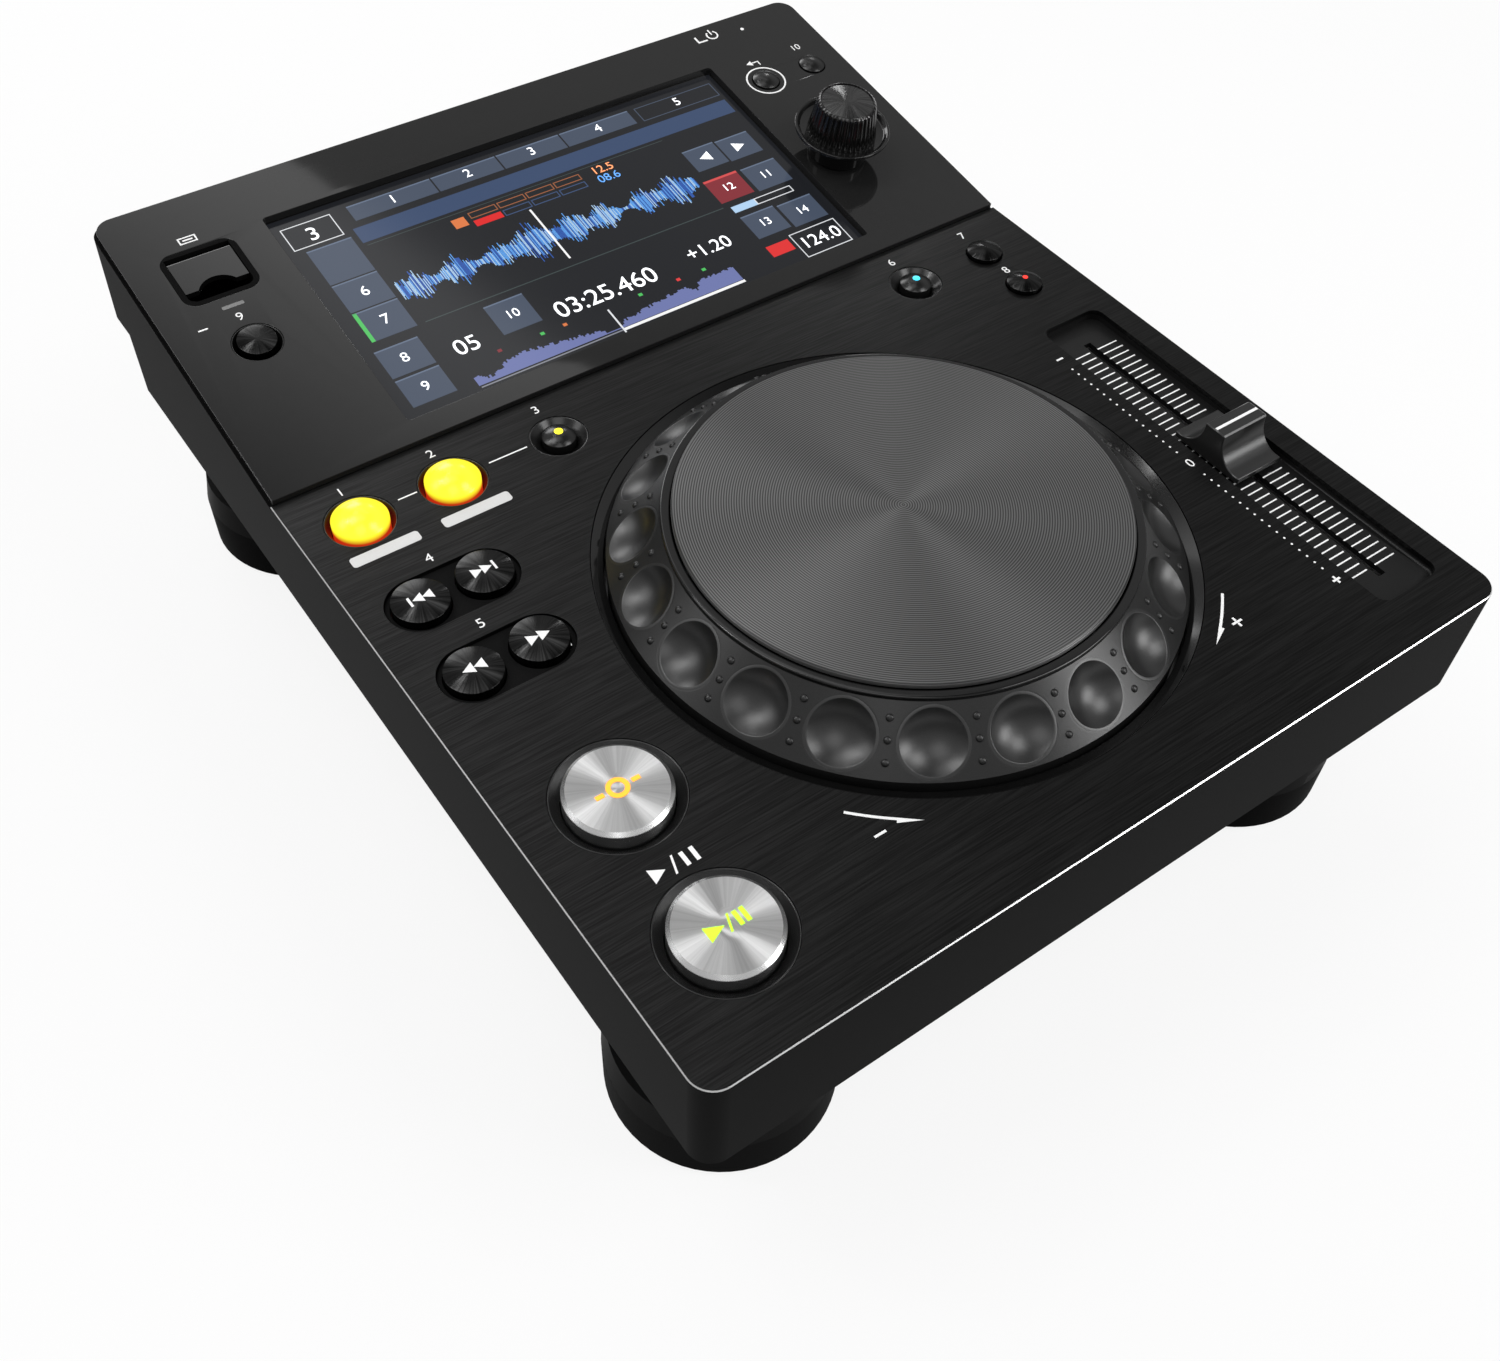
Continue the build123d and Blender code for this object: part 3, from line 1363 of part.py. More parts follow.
with BuildPart() as browse_plunger:
    with BuildSketch(encoder_base.offset(plunger_foot)):
        Circle(plunger_radius)
    extrude(amount=plunger_height)
save(browse_plunger, "browse_plunger")

with BuildPart() as browse_shaft:
    with BuildSketch(encoder_base.offset(plunger_top + fit)):
        Circle(shaft_radius)
    extrude(amount=shaft_top - plunger_top - fit)
save(browse_shaft, "browse_shaft")

# Covered socket: a pocket with a rim flush with the panel, a hinged lid, its pin and the upright socket
port_mouth_width = port_width - 2 * port_wall
port_mouth_length = port_length - 2 * port_wall
mouth_front = port_along - port_mouth_length / 2
mouth_rear = port_along + port_mouth_length / 2
mouth_radius = port_corner_radius - port_wall
barrel_radius = door_thickness
pin_along = mouth_rear - door_gap - barrel_radius
pin_height = -door_sink - barrel_radius
pin_y, pin_z = panel_point(pin_along, pin_height)
door_width = port_mouth_width - 2 * door_gap
door_front = mouth_front + door_front_gap
pin_length = port_mouth_width + 2 * door_pin_grip
pin_plane = Plane((port_x, pin_y, pin_z), x_dir=(0, tilt_cos, tilt_sin), z_dir=(1, 0, 0))
with BuildPart() as usb_well:
    with BuildSketch(panel_plane.offset(-port_depth)):
        with Locations((port_x, port_along)):
            RectangleRounded(port_width - 2 * fit, port_length - 2 * fit, port_corner_radius - fit)
    extrude(amount=port_depth)
    with BuildSketch(panel_plane.offset(-panel_stack - port_flange_thickness)):
        with Locations((port_x, port_along)):
            Rectangle(port_width + 2 * port_flange, port_length + 2 * port_flange)
    extrude(amount=port_flange_thickness)
    with BuildSketch(panel_plane.offset(port_floor - port_depth)):
        with Locations((port_x, port_along)):
            RectangleRounded(port_mouth_width, port_mouth_length, mouth_radius)
        with Locations((port_x, port_along + port_mouth_length / 4)):
            Rectangle(port_mouth_width, port_mouth_length / 2)
    extrude(amount=port_depth - port_floor, mode=Mode.SUBTRACT)
    with BuildSketch(panel_plane.offset(-door_sink - door_thickness - seat_gap)):
        with Locations((port_x, door_front + ledge_length)):
            with GridLocations(port_mouth_width - ledge_width, 0, 2, 1):
                Rectangle(ledge_width, ledge_length)
    extrude(amount=-ledge_height)
    with BuildSketch(pin_plane):
        Circle(door_pin_radius + fit)
    extrude(amount=pin_length / 2, both=True, mode=Mode.SUBTRACT)
save(usb_well, "usb_well")

with BuildPart() as usb_door_pin:
    with BuildSketch(pin_plane):
        Circle(door_pin_radius)
    extrude(amount=pin_length / 2, both=True)
save(usb_door_pin, "usb_door_pin")

door_length = pin_along - door_front
with BuildPart() as usb_door:
    with BuildSketch(panel_plane.offset(-door_sink - door_thickness)):
        with Locations((port_x, pin_along - door_length / 2)):
            Rectangle(door_width, door_length)
        with Locations((port_x, door_front + door_notch_depth - door_notch_radius)):
            Circle(door_notch_radius, mode=Mode.SUBTRACT)
    extrude(amount=door_thickness)
    with BuildSketch(pin_plane):
        Circle(barrel_radius)
    extrude(amount=door_width / 2, both=True)
    with BuildSketch(pin_plane):
        Circle(door_pin_radius + fit)
    extrude(amount=door_width / 2, both=True, mode=Mode.SUBTRACT)
save(usb_door, "usb_door")

socket_plane = panel_plane.offset(port_floor - port_depth)
with BuildPart() as usb_socket:
    with BuildSketch(socket_plane):
        with Locations((port_x, port_along)):
            Rectangle(plug_width + 2 * plug_wall, plug_height + 2 * plug_wall)
    extrude(amount=plug_length)
    with BuildSketch(socket_plane.offset(plug_base)):
        with Locations((port_x, port_along)):
            Rectangle(plug_width, plug_height)
    extrude(amount=plug_length - plug_base, mode=Mode.SUBTRACT)
    with BuildSketch(socket_plane.offset(plug_base)):
        with Locations((port_x, port_along + (plug_height - plug_tongue_height) / 2)):
            Rectangle(plug_tongue_width, plug_tongue_height)
    extrude(amount=plug_length - plug_base - plug_tongue_end)
save(usb_socket, "usb_socket")

# Main board and jack board on the bottom cover
with BuildPart() as main_board:
    with BuildSketch(Plane.XY.offset(main_board_foot)):
        with Locations((0, main_board_y)):
            Rectangle(main_board_width, main_board_length)
        with Locations(*main_screw_places):
            Circle(board_screw_radius + seat_gap, mode=Mode.SUBTRACT)
    extrude(amount=board_thickness)
    with BuildSketch(Plane.XY.offset(main_board_top)):
        with Locations((0, main_board_y)):
            Rectangle(chip_size, chip_size)
    extrude(amount=chip_height)
    with BuildSketch(Plane.XY.offset(main_board_top)):
        with Locations((chip_size + memory_width / 2, main_board_y)):
            with GridLocations(0, memory_pitch, 1, 2):
                Rectangle(memory_width, memory_length)
    extrude(amount=memory_height)
    with BuildSketch(Plane.XY.offset(main_board_top)):
        with Locations((0, main_board_y - main_board_length / 2 + header_inset)):
            Rectangle(header_width, header_length)
    extrude(amount=header_height)
save(main_board, "main_board")

jack_board_foot = cover_top + jack_standoff_height
jack_board_top = jack_board_foot + board_thickness
with BuildPart() as jack_board:
    with BuildSketch(Plane.XY.offset(jack_board_foot)):
        with Locations((0, jack_board_y)):
            Rectangle(jack_board_width, jack_board_length)
    extrude(amount=board_thickness)
save(jack_board, "jack_board")

# Rear panel: sheet under the overhang, cut for the sockets, the power button and a lock slot
rear_panel_z = (cover_top + overhang_z) / 2
rear_plane = Plane((0, jack_y, jack_board_top), x_dir=(-1, 0, 0), z_dir=(0, 1, 0))


def rear_block(x, width, height, margin):
    """Footprint of a socket that stands on the jack board, seen from behind."""
    with Locations((-x, height / 2)):
        Rectangle(width + 2 * margin, height + 2 * margin)


with BuildPart() as rear_panel:
    with BuildSketch(rear_plane):
        with Locations((0, rear_panel_z - jack_board_top)):
            Rectangle(cover_width, overhang_z - cover_top)
    extrude(amount=-rear_panel_thickness)
    with BuildSketch(rear_plane):
        rear_block(lan_x, lan_width, lan_height, socket_gap)
        rear_block(data_x, data_width, data_height, socket_gap)
        rear_block(inlet_x, inlet_width, inlet_height, socket_gap)
        with Locations(*[(-x, rca_axis_height) for x in rca_x]):
            Circle(rca_collar_radius + socket_gap)
        with Locations((-power_x, power_axis_height)):
            Circle(power_radius + button_gap)
        with Locations((-lock_x, lock_rise)):
            Rectangle(lock_width, lock_height)
    extrude(amount=-rear_panel_thickness, mode=Mode.SUBTRACT)
save(rear_panel, "rear_panel")

# Phono jacks: block on the board and a turned barrel through the panel
with BuildPart() as rca_jacks:
    block_plane = rear_plane.offset(-rear_panel_thickness)
    with BuildSketch(block_plane):
        for x in rca_x:
            rear_block(x, rca_block_width, rca_block_height, 0)
    extrude(amount=-rca_block_depth)
    with BuildSketch(block_plane):
        with Locations(*[(-x, rca_axis_height) for x in rca_x]):
            Circle(rca_collar_radius)
    extrude(amount=rear_panel_thickness + rca_collar_proud)
    with BuildSketch(block_plane):
        with Locations(*[(-x, rca_axis_height) for x in rca_x]):
            Circle(rca_radius)
    extrude(amount=rear_panel_thickness + rca_reach)
    with BuildSketch(rear_plane.offset(rca_reach)):
        with Locations(*[(-x, rca_axis_height) for x in rca_x]):
            Circle(rca_bore_radius)
    extrude(amount=-rca_bore_depth, mode=Mode.SUBTRACT)
save(rca_jacks, "rca_jacks")

# Network socket, data socket, power inlet and the switch behind the power button
socket_face = rear_plane.offset(socket_proud)
inlet_axis = inlet_height / 2
data_axis = data_height / 2
with BuildPart() as rear_sockets:
    with BuildSketch(socket_face):
        rear_block(lan_x, lan_width, lan_height, 0)
        rear_block(data_x, data_width, data_height, 0)
    extrude(amount=-lan_depth)
    with BuildSketch(socket_face):
        rear_block(inlet_x, inlet_width, inlet_height, 0)
    extrude(amount=-inlet_depth)
    with BuildSketch(socket_face):
        with Locations((-lan_x, lan_height / 2)):
            Rectangle(lan_mouth_width, lan_mouth_height)
    extrude(amount=-lan_mouth_depth, mode=Mode.SUBTRACT)
    with BuildSketch(socket_face):
        with Locations((-data_x, data_axis)):
            Rectangle(data_mouth_width, data_mouth_height)
            Rectangle(data_tongue_width, data_tongue_height, mode=Mode.SUBTRACT)
    extrude(amount=-data_mouth_depth, mode=Mode.SUBTRACT)
    with BuildSketch(socket_face):
        with Locations((-inlet_x, inlet_axis)):
            Circle(inlet_radius)
            Circle(inlet_pin_radius, mode=Mode.SUBTRACT)
    extrude(amount=-inlet_bore_depth, mode=Mode.SUBTRACT)
    switch_face = rear_plane.offset(-rear_panel_thickness - power_flange - power_travel - press_gap)
    with BuildSketch(switch_face):
        with Locations((-power_x, power_switch_size / 2)):
            Rectangle(power_switch_size, power_switch_size)
    extrude(amount=-power_switch_depth)
save(rear_sockets, "rear_sockets")

# Power button: flanged cap behind the rear panel, pressed forwards
power_plane = Plane((power_x, jack_y, jack_board_top + power_axis_height), x_dir=(1, 0, 0), z_dir=(0, 0, 1))
flange_back = -rear_panel_thickness - seat_gap / 2
power_points = [
    (0, power_proud),
    (power_radius - power_dome, power_proud),
    (power_radius, power_proud - power_dome),
    (power_radius, flange_back),
    (power_radius + power_flange, flange_back),
    (power_radius + power_flange, flange_back - power_flange + seat_gap / 2),
    (0, flange_back - power_flange + seat_gap / 2),
]
with BuildPart() as power_button:
    revolve(outline(power_plane, power_points), axis=turning_axis(power_plane))
save(power_button, "power_button")
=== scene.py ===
# %% [markdown]
# # A compact DJ media player, dressed on its CAD frame
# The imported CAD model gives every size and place. This lesson loads it, then makes the pieces that a
# camera sees closely as smooth numpy surfaces, and gives every surface a procedural finish.

# %% Load the frame
import json

import bmesh
import bpy
import numpy as np
from mathutils import Matrix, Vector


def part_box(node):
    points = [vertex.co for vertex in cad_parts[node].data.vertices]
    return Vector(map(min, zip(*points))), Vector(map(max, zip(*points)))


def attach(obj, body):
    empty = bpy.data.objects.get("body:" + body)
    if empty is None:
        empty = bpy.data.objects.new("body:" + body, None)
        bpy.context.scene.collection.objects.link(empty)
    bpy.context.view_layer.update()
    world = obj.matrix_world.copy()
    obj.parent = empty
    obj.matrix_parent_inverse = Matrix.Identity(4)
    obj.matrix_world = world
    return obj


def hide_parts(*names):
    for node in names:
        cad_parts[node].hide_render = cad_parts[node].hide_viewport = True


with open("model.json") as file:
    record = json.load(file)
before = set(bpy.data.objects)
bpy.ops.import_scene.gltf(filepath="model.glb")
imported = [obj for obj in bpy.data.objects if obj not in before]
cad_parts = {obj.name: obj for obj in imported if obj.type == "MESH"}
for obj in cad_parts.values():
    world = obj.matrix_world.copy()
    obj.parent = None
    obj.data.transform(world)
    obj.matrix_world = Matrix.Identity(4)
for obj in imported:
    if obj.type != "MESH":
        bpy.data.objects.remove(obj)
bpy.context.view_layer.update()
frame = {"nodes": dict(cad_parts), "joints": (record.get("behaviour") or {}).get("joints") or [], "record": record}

# %% [markdown]
# Two working planes carry almost everything: the level deck and the sloping display panel. Each one is an
# origin and three directions, so a point is given as (across, back, up) on its own surface. Both come from
# the frame: the deck from its plate's box, the panel from the browse knob's axis, which stands square on it.

# %% Working planes
joints = {joint["name"]: joint for joint in frame["joints"]}
deck_low, deck_high = (np.array(corner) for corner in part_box("deck_plate"))
front_y, deck_top = deck_low[1], deck_high[2]
panel_up = np.array(joints["browse_turn"]["axis"], dtype=float)
panel_up /= np.linalg.norm(panel_up)
across = np.array([1.0, 0.0, 0.0])
panel_back = np.cross(panel_up, across)
knob_x, knob_along = joints["browse_turn"]["pos_m"][0], 0.0391
knob_base = np.array(joints["browse_turn"]["pos_m"])
panel_origin = knob_base - knob_x * across - knob_along * panel_back
deck_plane = (np.array([0.0, front_y, deck_top]), across, np.array([0.0, 1.0, 0.0]), np.array([0.0, 0.0, 1.0]))
panel_plane = (panel_origin, across, panel_back, panel_up)


def on_plane(plane, points):
    """Points given as (across, back, up) on a working plane become points of the shared frame."""
    origin, e1, e2, e3 = plane
    points = np.asarray(points, dtype=float)
    return origin + points[..., :1] * e1 + points[..., 1:2] * e2 + points[..., 2:3] * e3


print("deck at", round(float(deck_top), 4), "panel starts at", panel_origin.round(4))

# %% [markdown]
# A mesh here is an array of points and an array of faces. One helper turns them into an object, merges the
# points that fall together at a seam or a pole, and smooths the shading except across real edges. A Weighted
# Normal modifier lets the large flat faces lead, so a small rounded edge doesn't bend the light on a flat sheet.

# %% Mesh helpers
sharp_angle = np.radians(32.0)
merge_distance = 0.000002
flat_angle = np.radians(0.5)
corner_share = 0.45


def tidy_mesh(mesh, turn_outwards):
    """Merge doubled points, then turn a new shape's faces outwards or dissolve a CAD copy's flat triangles."""
    work = bmesh.new()
    work.from_mesh(mesh)
    bmesh.ops.remove_doubles(work, verts=work.verts, dist=merge_distance)
    if turn_outwards:
        bmesh.ops.recalc_face_normals(work, faces=work.faces)
    else:
        bmesh.ops.dissolve_limit(work, angle_limit=flat_angle, verts=work.verts, edges=work.edges)
    work.to_mesh(mesh)
    work.free()


def settle(name, mesh, body):
    """Put a mesh in the scene on a CAD body, smooth except at real edges, with flat faces kept flat."""
    mesh.shade_smooth()
    mesh.set_sharp_from_angle(angle=sharp_angle)
    made = bpy.data.objects.new(name, mesh)
    bpy.context.scene.collection.objects.link(made)
    flat_first = made.modifiers.new("flat faces first", "WEIGHTED_NORMAL")
    flat_first.keep_sharp = True
    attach(made, body)
    return made


def piece(name, points, faces, material, body, merge=True):
    """Make one finished object from arrays of points and faces, riding on a CAD body."""
    mesh = bpy.data.meshes.new(name)
    faces = faces.tolist() if isinstance(faces, np.ndarray) else faces
    mesh.from_pydata(np.asarray(points).reshape(-1, 3).tolist(), [], faces)
    if merge:
        tidy_mesh(mesh, turn_outwards=True)
    mesh.materials.append(material)
    return settle(name, mesh, body)


def grid_faces(rows, columns):
    """Quads of a rows by columns grid of points, closed round the columns."""
    row, column = np.meshgrid(np.arange(rows - 1), np.arange(columns), indexing="ij")
    following = (column + 1) % columns
    corners = (row * columns + column, row * columns + following,
               (row + 1) * columns + following, (row + 1) * columns + column)
    return np.stack(corners, axis=-1).reshape(-1, 4)


def soften(points, radius, steps=4):
    """Round each inner corner of an open outline: a short curve that starts and ends one radius from it."""
    points = np.asarray(points, dtype=float)
    before, corner, after = points[:-2], points[1:-1], points[2:]
    back, forth = before - corner, after - corner
    back_length = np.linalg.norm(back, axis=1, keepdims=True)
    forth_length = np.linalg.norm(forth, axis=1, keepdims=True)
    reach = np.minimum(radius, np.minimum(back_length, forth_length) * corner_share)
    start, end = corner + back / back_length * reach, corner + forth / forth_length * reach
    t = np.linspace(0.0, 1.0, steps + 1)[None, :, None]
    curve = (1 - t) ** 2 * start[:, None] + 2 * t * (1 - t) * corner[:, None] + t ** 2 * end[:, None]
    return np.concatenate([points[:1], curve.reshape(-1, 2), points[-1:]])


def shut(profile):
    """Close an open profile of (radius, height): straight to the axis if it starts there, else to its start."""
    profile = np.asarray(profile, dtype=float)
    last = [0.0, profile[-1, 1]] if profile[0, 0] == 0 else profile[0]
    return np.concatenate([profile, [last]])


def around(centre, radius, angle, height):
    """Points at a radius, an angle and a height about an upright axis."""
    points = np.broadcast_arrays(centre[0] + radius * np.cos(angle), centre[1] + radius * np.sin(angle), height)
    return np.stack(points, axis=-1)


def turned(profile, plane, centre, segments=96):
    """Points and faces of a profile of (radius, height) carried once round an upright axis on a plane."""
    profile = shut(profile)
    angle = np.linspace(0.0, 2 * np.pi, segments, endpoint=False)
    local = around(centre, profile[:, :1], angle, profile[:, 1:])
    return on_plane(plane, local), grid_faces(len(profile), segments)


def ball_radius(opening, depth):
    """The radius of the ball whose cap has this opening's radius and this depth."""
    return (opening ** 2 + depth ** 2) / (2 * depth)


print("helpers ready")

# %% [markdown]
# Spun and turned metal shines along its tool marks, so those pieces need to know which way the tool went
# round. A UV map named "turn" holds it: the first coordinate is the angle, the second the radius.

# %% Turning map


def map_turning(made, plane, centre):
    """Give a turned piece its UV map: angle in turns and radius in metres, unwrapped face by face."""
    mesh = made.data
    points = np.empty(len(mesh.vertices) * 3)
    mesh.vertices.foreach_get("co", points)
    offset = points.reshape(-1, 3) - on_plane(plane, [centre[0], centre[1], 0.0])
    a, b = offset @ plane[1], offset @ plane[2]
    corner = np.empty(len(mesh.loops), dtype=int)
    mesh.loops.foreach_get("vertex_index", corner)
    start = np.empty(len(mesh.polygons), dtype=int)
    count = np.empty(len(mesh.polygons), dtype=int)
    mesh.polygons.foreach_get("loop_start", start)
    mesh.polygons.foreach_get("loop_total", count)
    face = np.repeat(np.arange(len(start)), count)
    middle = np.arctan2(np.bincount(face, b[corner]), np.bincount(face, a[corner]))[face]
    swing = np.angle(np.exp(1j * (np.arctan2(b[corner], a[corner]) - middle)))
    layer = mesh.uv_layers.new(name="turn")
    turn = np.stack([(middle + swing) / (2 * np.pi), np.hypot(a, b)[corner]], axis=-1)
    layer.data.foreach_set("uv", turn.astype(np.float32).ravel())


def turned_piece(name, profile, plane, centre, material, body, segments=96, mapped=True):
    """A profile carried round an axis as a finished piece, with a turning map if its finish needs one."""
    points, faces = turned(profile, plane, centre, segments)
    made = piece(name, points, faces, material, body)
    if mapped:
        map_turning(made, plane, centre)
    return made


print("turning map ready")

# %% [markdown]
# Finishes repeat a few effects: fine moulded grain, long brushed lines, the rays of a spun face, and rings at a turned
# face's groove pitch that paint shade in the valleys and a highlight on the ridges. Each is a node group, built once,
# that mixes two colours by its pattern and tilts the normal with it.

# %% Node groups


def set_inputs(node, values):
    """Give some of a node's inputs plain values, by label or number."""
    for label, value in values.items():
        node.inputs[label].default_value = value


def add_node(tree, kind, values=None, **settings):
    """A new shader node of a kind, with its settings and the plain values of its inputs."""
    node = tree.nodes.new("ShaderNode" + kind)
    for label, value in settings.items():
        setattr(node, label, value)
    set_inputs(node, values or {})
    return node


def join(tree, *links):
    """Link nodes, each link given as a node, its output, the next node and its input."""
    for start, output, end, target in links:
        tree.links.new(start.outputs[output], end.inputs[target])


def effect_group(name, label, kind, value):
    """An empty shader group with two colours, a depth and one number or vector of its own as inputs."""
    group = bpy.data.node_groups.new(name, "ShaderNodeTree")
    for title, sort, default in (("Low", "NodeSocketColor", (0.01, 0.01, 0.01, 1.0)),
                                 ("High", "NodeSocketColor", (0.02, 0.02, 0.02, 1.0)),
                                 ("Depth", "NodeSocketFloat", 0.1), (label, kind, value)):
        group.interface.new_socket(title, in_out="INPUT", socket_type=sort).default_value = default
    for title, sort in (("Colour", "NodeSocketColor"), ("Pattern", "NodeSocketFloat"), ("Normal", "NodeSocketVector")):
        group.interface.new_socket(title, in_out="OUTPUT", socket_type=sort)
    return group, group.nodes.new("NodeGroupInput"), group.nodes.new("NodeGroupOutput")


def finish_group(group, source, sink, pattern, output, distance):
    """Let a node's output drive the group's colour mix, its plain value and a bump of that distance."""
    mix = add_node(group, "Mix", data_type="RGBA")
    bump = add_node(group, "Bump", {"Distance": distance})
    join(group, (pattern, output, mix, "Factor"), (source, "Low", mix, 6), (source, "High", mix, 7),
         (mix, 2, sink, "Colour"), (pattern, output, sink, "Pattern"), (pattern, output, bump, "Height"),
         (source, "Depth", bump, "Strength"), (bump, "Normal", sink, "Normal"))


def turning_parts(group):
    """The angle and the radius of the turning map, as X and Y of one node."""
    turn = add_node(group, "UVMap", uv_map="turn")
    parts = add_node(group, "SeparateXYZ")
    join(group, (turn, "UV", parts, "Vector"))
    return parts


grain, source, sink = effect_group("moulded grain", "Scale", "NodeSocketFloat", 2500.0)
place = add_node(grain, "TexCoord")
speckle = add_node(grain, "TexNoise", {"Detail": 3.0})
join(grain, (place, "Object", speckle, "Vector"), (source, "Scale", speckle, "Scale"))
finish_group(grain, source, sink, speckle, "Fac", 0.00015)

brushing, source, sink = effect_group("brushed lines", "Stretch", "NodeSocketVector", (25.0, 3200.0, 3200.0))
place = add_node(brushing, "TexCoord")
stretch = add_node(brushing, "VectorMath", operation="MULTIPLY")
streak = add_node(brushing, "TexNoise", {"Scale": 1.0, "Detail": 2.0})
ramp = add_node(brushing, "MapRange", {"From Min": 0.32, "From Max": 0.72})
join(brushing, (place, "Object", stretch, 0), (source, "Stretch", stretch, 1), (stretch, "Vector", streak, "Vector"),
     (streak, "Fac", ramp, "Value"))
finish_group(brushing, source, sink, ramp, "Result", 0.0001)

sheen, source, sink = effect_group("spun sectors", "Sectors", "NodeSocketFloat", 14.0)
parts = turning_parts(sheen)
whole = add_node(sheen, "Math", {1: 2 * np.pi}, operation="MULTIPLY")
cosine = add_node(sheen, "Math", operation="COSINE")
sine = add_node(sheen, "Math", operation="SINE")
circle = add_node(sheen, "CombineXYZ")
rays = add_node(sheen, "TexNoise", {"Detail": 2.0})
ramp = add_node(sheen, "MapRange", {"From Min": 0.35, "From Max": 0.65})
join(sheen, (parts, "X", whole, 0), (whole, "Value", cosine, 0), (whole, "Value", sine, 0),
     (cosine, "Value", circle, "X"), (sine, "Value", circle, "Y"), (circle, "Vector", rays, "Vector"),
     (source, "Sectors", rays, "Scale"), (rays, "Fac", ramp, "Value"))
finish_group(sheen, source, sink, ramp, "Result", 0.00002)

# Rings at the groove pitch: lighter on the ridges and darker in the valleys, a painted highlight and painted shade.
rings, source, sink = effect_group("painted groove shade rings", "Waves", "NodeSocketFloat", 1600.0)
parts = turning_parts(rings)
whole = add_node(rings, "Math", operation="MULTIPLY")
cosine = add_node(rings, "Math", operation="COSINE")
ramp = add_node(rings, "MapRange", {"From Min": -1.0})
join(rings, (parts, "Y", whole, 0), (source, "Waves", whole, 1), (whole, "Value", cosine, 0),
     (cosine, "Value", ramp, "Value"))
finish_group(rings, source, sink, ramp, "Result", 0.00002)
print("groups", [group.name for group in bpy.data.node_groups])

# %% [markdown]
# A finish is a Principled shader whose constant numbers sit on its own sockets, with one effect group
# feeding its colour and normal. Dark finishes have two near blacks, so light always finds some texture.

# %% Finishes


def grey(value):
    """A neutral colour of one linear value."""
    return (value, value, value, 1.0)


def shaded(name, constants):
    """A new material, its node tree and its shader, with constants on the shader's own sockets."""
    made = bpy.data.materials.new(name)
    made.use_nodes = True
    shader = made.node_tree.nodes["Principled BSDF"]
    set_inputs(shader, constants)
    return made, made.node_tree, shader


def finish(name, effect, low, high, depth, roughness, metallic=0.0, own=None, specular=0.5):
    """A material with one effect group on its colour and normal. A plain number as a colour stands for a grey."""
    made, tree, shader = shaded(name, {"Roughness": roughness, "Metallic": metallic, "Specular IOR Level": specular})
    low, high = (grey(tone) if np.isscalar(tone) else tone for tone in (low, high))
    group = add_node(tree, "Group", {"Low": low, "High": high, "Depth": depth, **(own or {})}, node_tree=effect)
    join(tree, (group, "Colour", shader, "Base Color"), (group, "Normal", shader, "Normal"))
    return made


def spin(made, amount):
    """Stretch a finish's highlight along the radius, a quarter turn from the way the tool went."""
    tree = made.node_tree
    shader = tree.nodes["Principled BSDF"]
    set_inputs(shader, {"Anisotropic": amount, "Anisotropic Rotation": 0.25})
    tangent = add_node(tree, "Tangent", direction_type="UV_MAP", uv_map="turn")
    join(tree, (tangent, "Tangent", shader, "Tangent"))
    return made


matte, groove_pitch = 0.01, 0.0006
fine_lines, even, fine_grain = {"Stretch": (70.0, 3000.0, 3000.0)}, {"Scale": 300.0}, {"Scale": 4000.0}
case_black = finish("matte case", grain, 0.0035, 0.0060, 0.12, 0.5, specular=matte)
cover_black = finish("painted cover", grain, 0.006, 0.010, 0.2, 0.5, specular=matte)
deck_black = finish("brushed deck", brushing, 0.007, 0.021, 0.08, 0.36, 0.85, fine_lines)
edge_bright = finish("bare chamfer", brushing, 0.86, 0.95, 0.05, 0.34, 1.0)
panel_black = finish("gloss panel", grain, 0.013, 0.015, 0.0, 0.05, 0.0, even, 0.32)
gloss_black = finish("gloss trim", grain, 0.003, 0.005, 0.0, 0.1, 0.0, even)
button_black = finish("satin button", grain, 0.004, 0.006, 0.0, 0.24, 0.0, even)
grip_black = finish("satin jog grip", grain, 0.034, 0.050, 0.10, 0.32, 0.8, fine_grain)
# The dimples are a lighter copy of the grip's satin black: a painted highlight, standing in for the light they catch.
dimple_highlight_black = finish("satin finger dimple with painted highlight", grain, 0.058, 0.074, 0.06, 0.34, 0.9, fine_grain)
rubber_black = finish("foot rubber", grain, 0.0015, 0.003, 0.3, 0.6, specular=matte)
leg_black = finish("foot plastic", grain, 0.007, 0.011, 0.15, 0.4, specular=matte)
tray_black = finish("socket plastic", grain, 0.006, 0.010, 0.15, 0.45)
cap_black = finish("fader cap", grain, 0.045, 0.055, 0.1, 0.28, 0.7)
steel = finish("plated steel", grain, 0.45, 0.6, 0.05, 0.3, 1.0)
gold = finish("gold plating", grain, (0.75, 0.52, 0.18, 1.0), (0.85, 0.62, 0.25, 1.0), 0.02, 0.25, 1.0)
board_green = finish("board laminate", grain, (0.01, 0.07, 0.03, 1.0), (0.02, 0.11, 0.05, 1.0), 0.05, 0.4)
brass = finish("bearing bronze", grain, (0.45, 0.3, 0.12, 1.0), (0.55, 0.38, 0.16, 1.0), 0.1, 0.4, 1.0)
silver = spin(finish("spun silver", sheen, 0.52, 0.62, 0.03, 0.45, 1.0), 0.97)
silver_rim = finish("silver chamfer", grain, 0.75, 0.85, 0.02, 0.26, 1.0)
groove_waves = {"Waves": 2 * np.pi / groove_pitch}
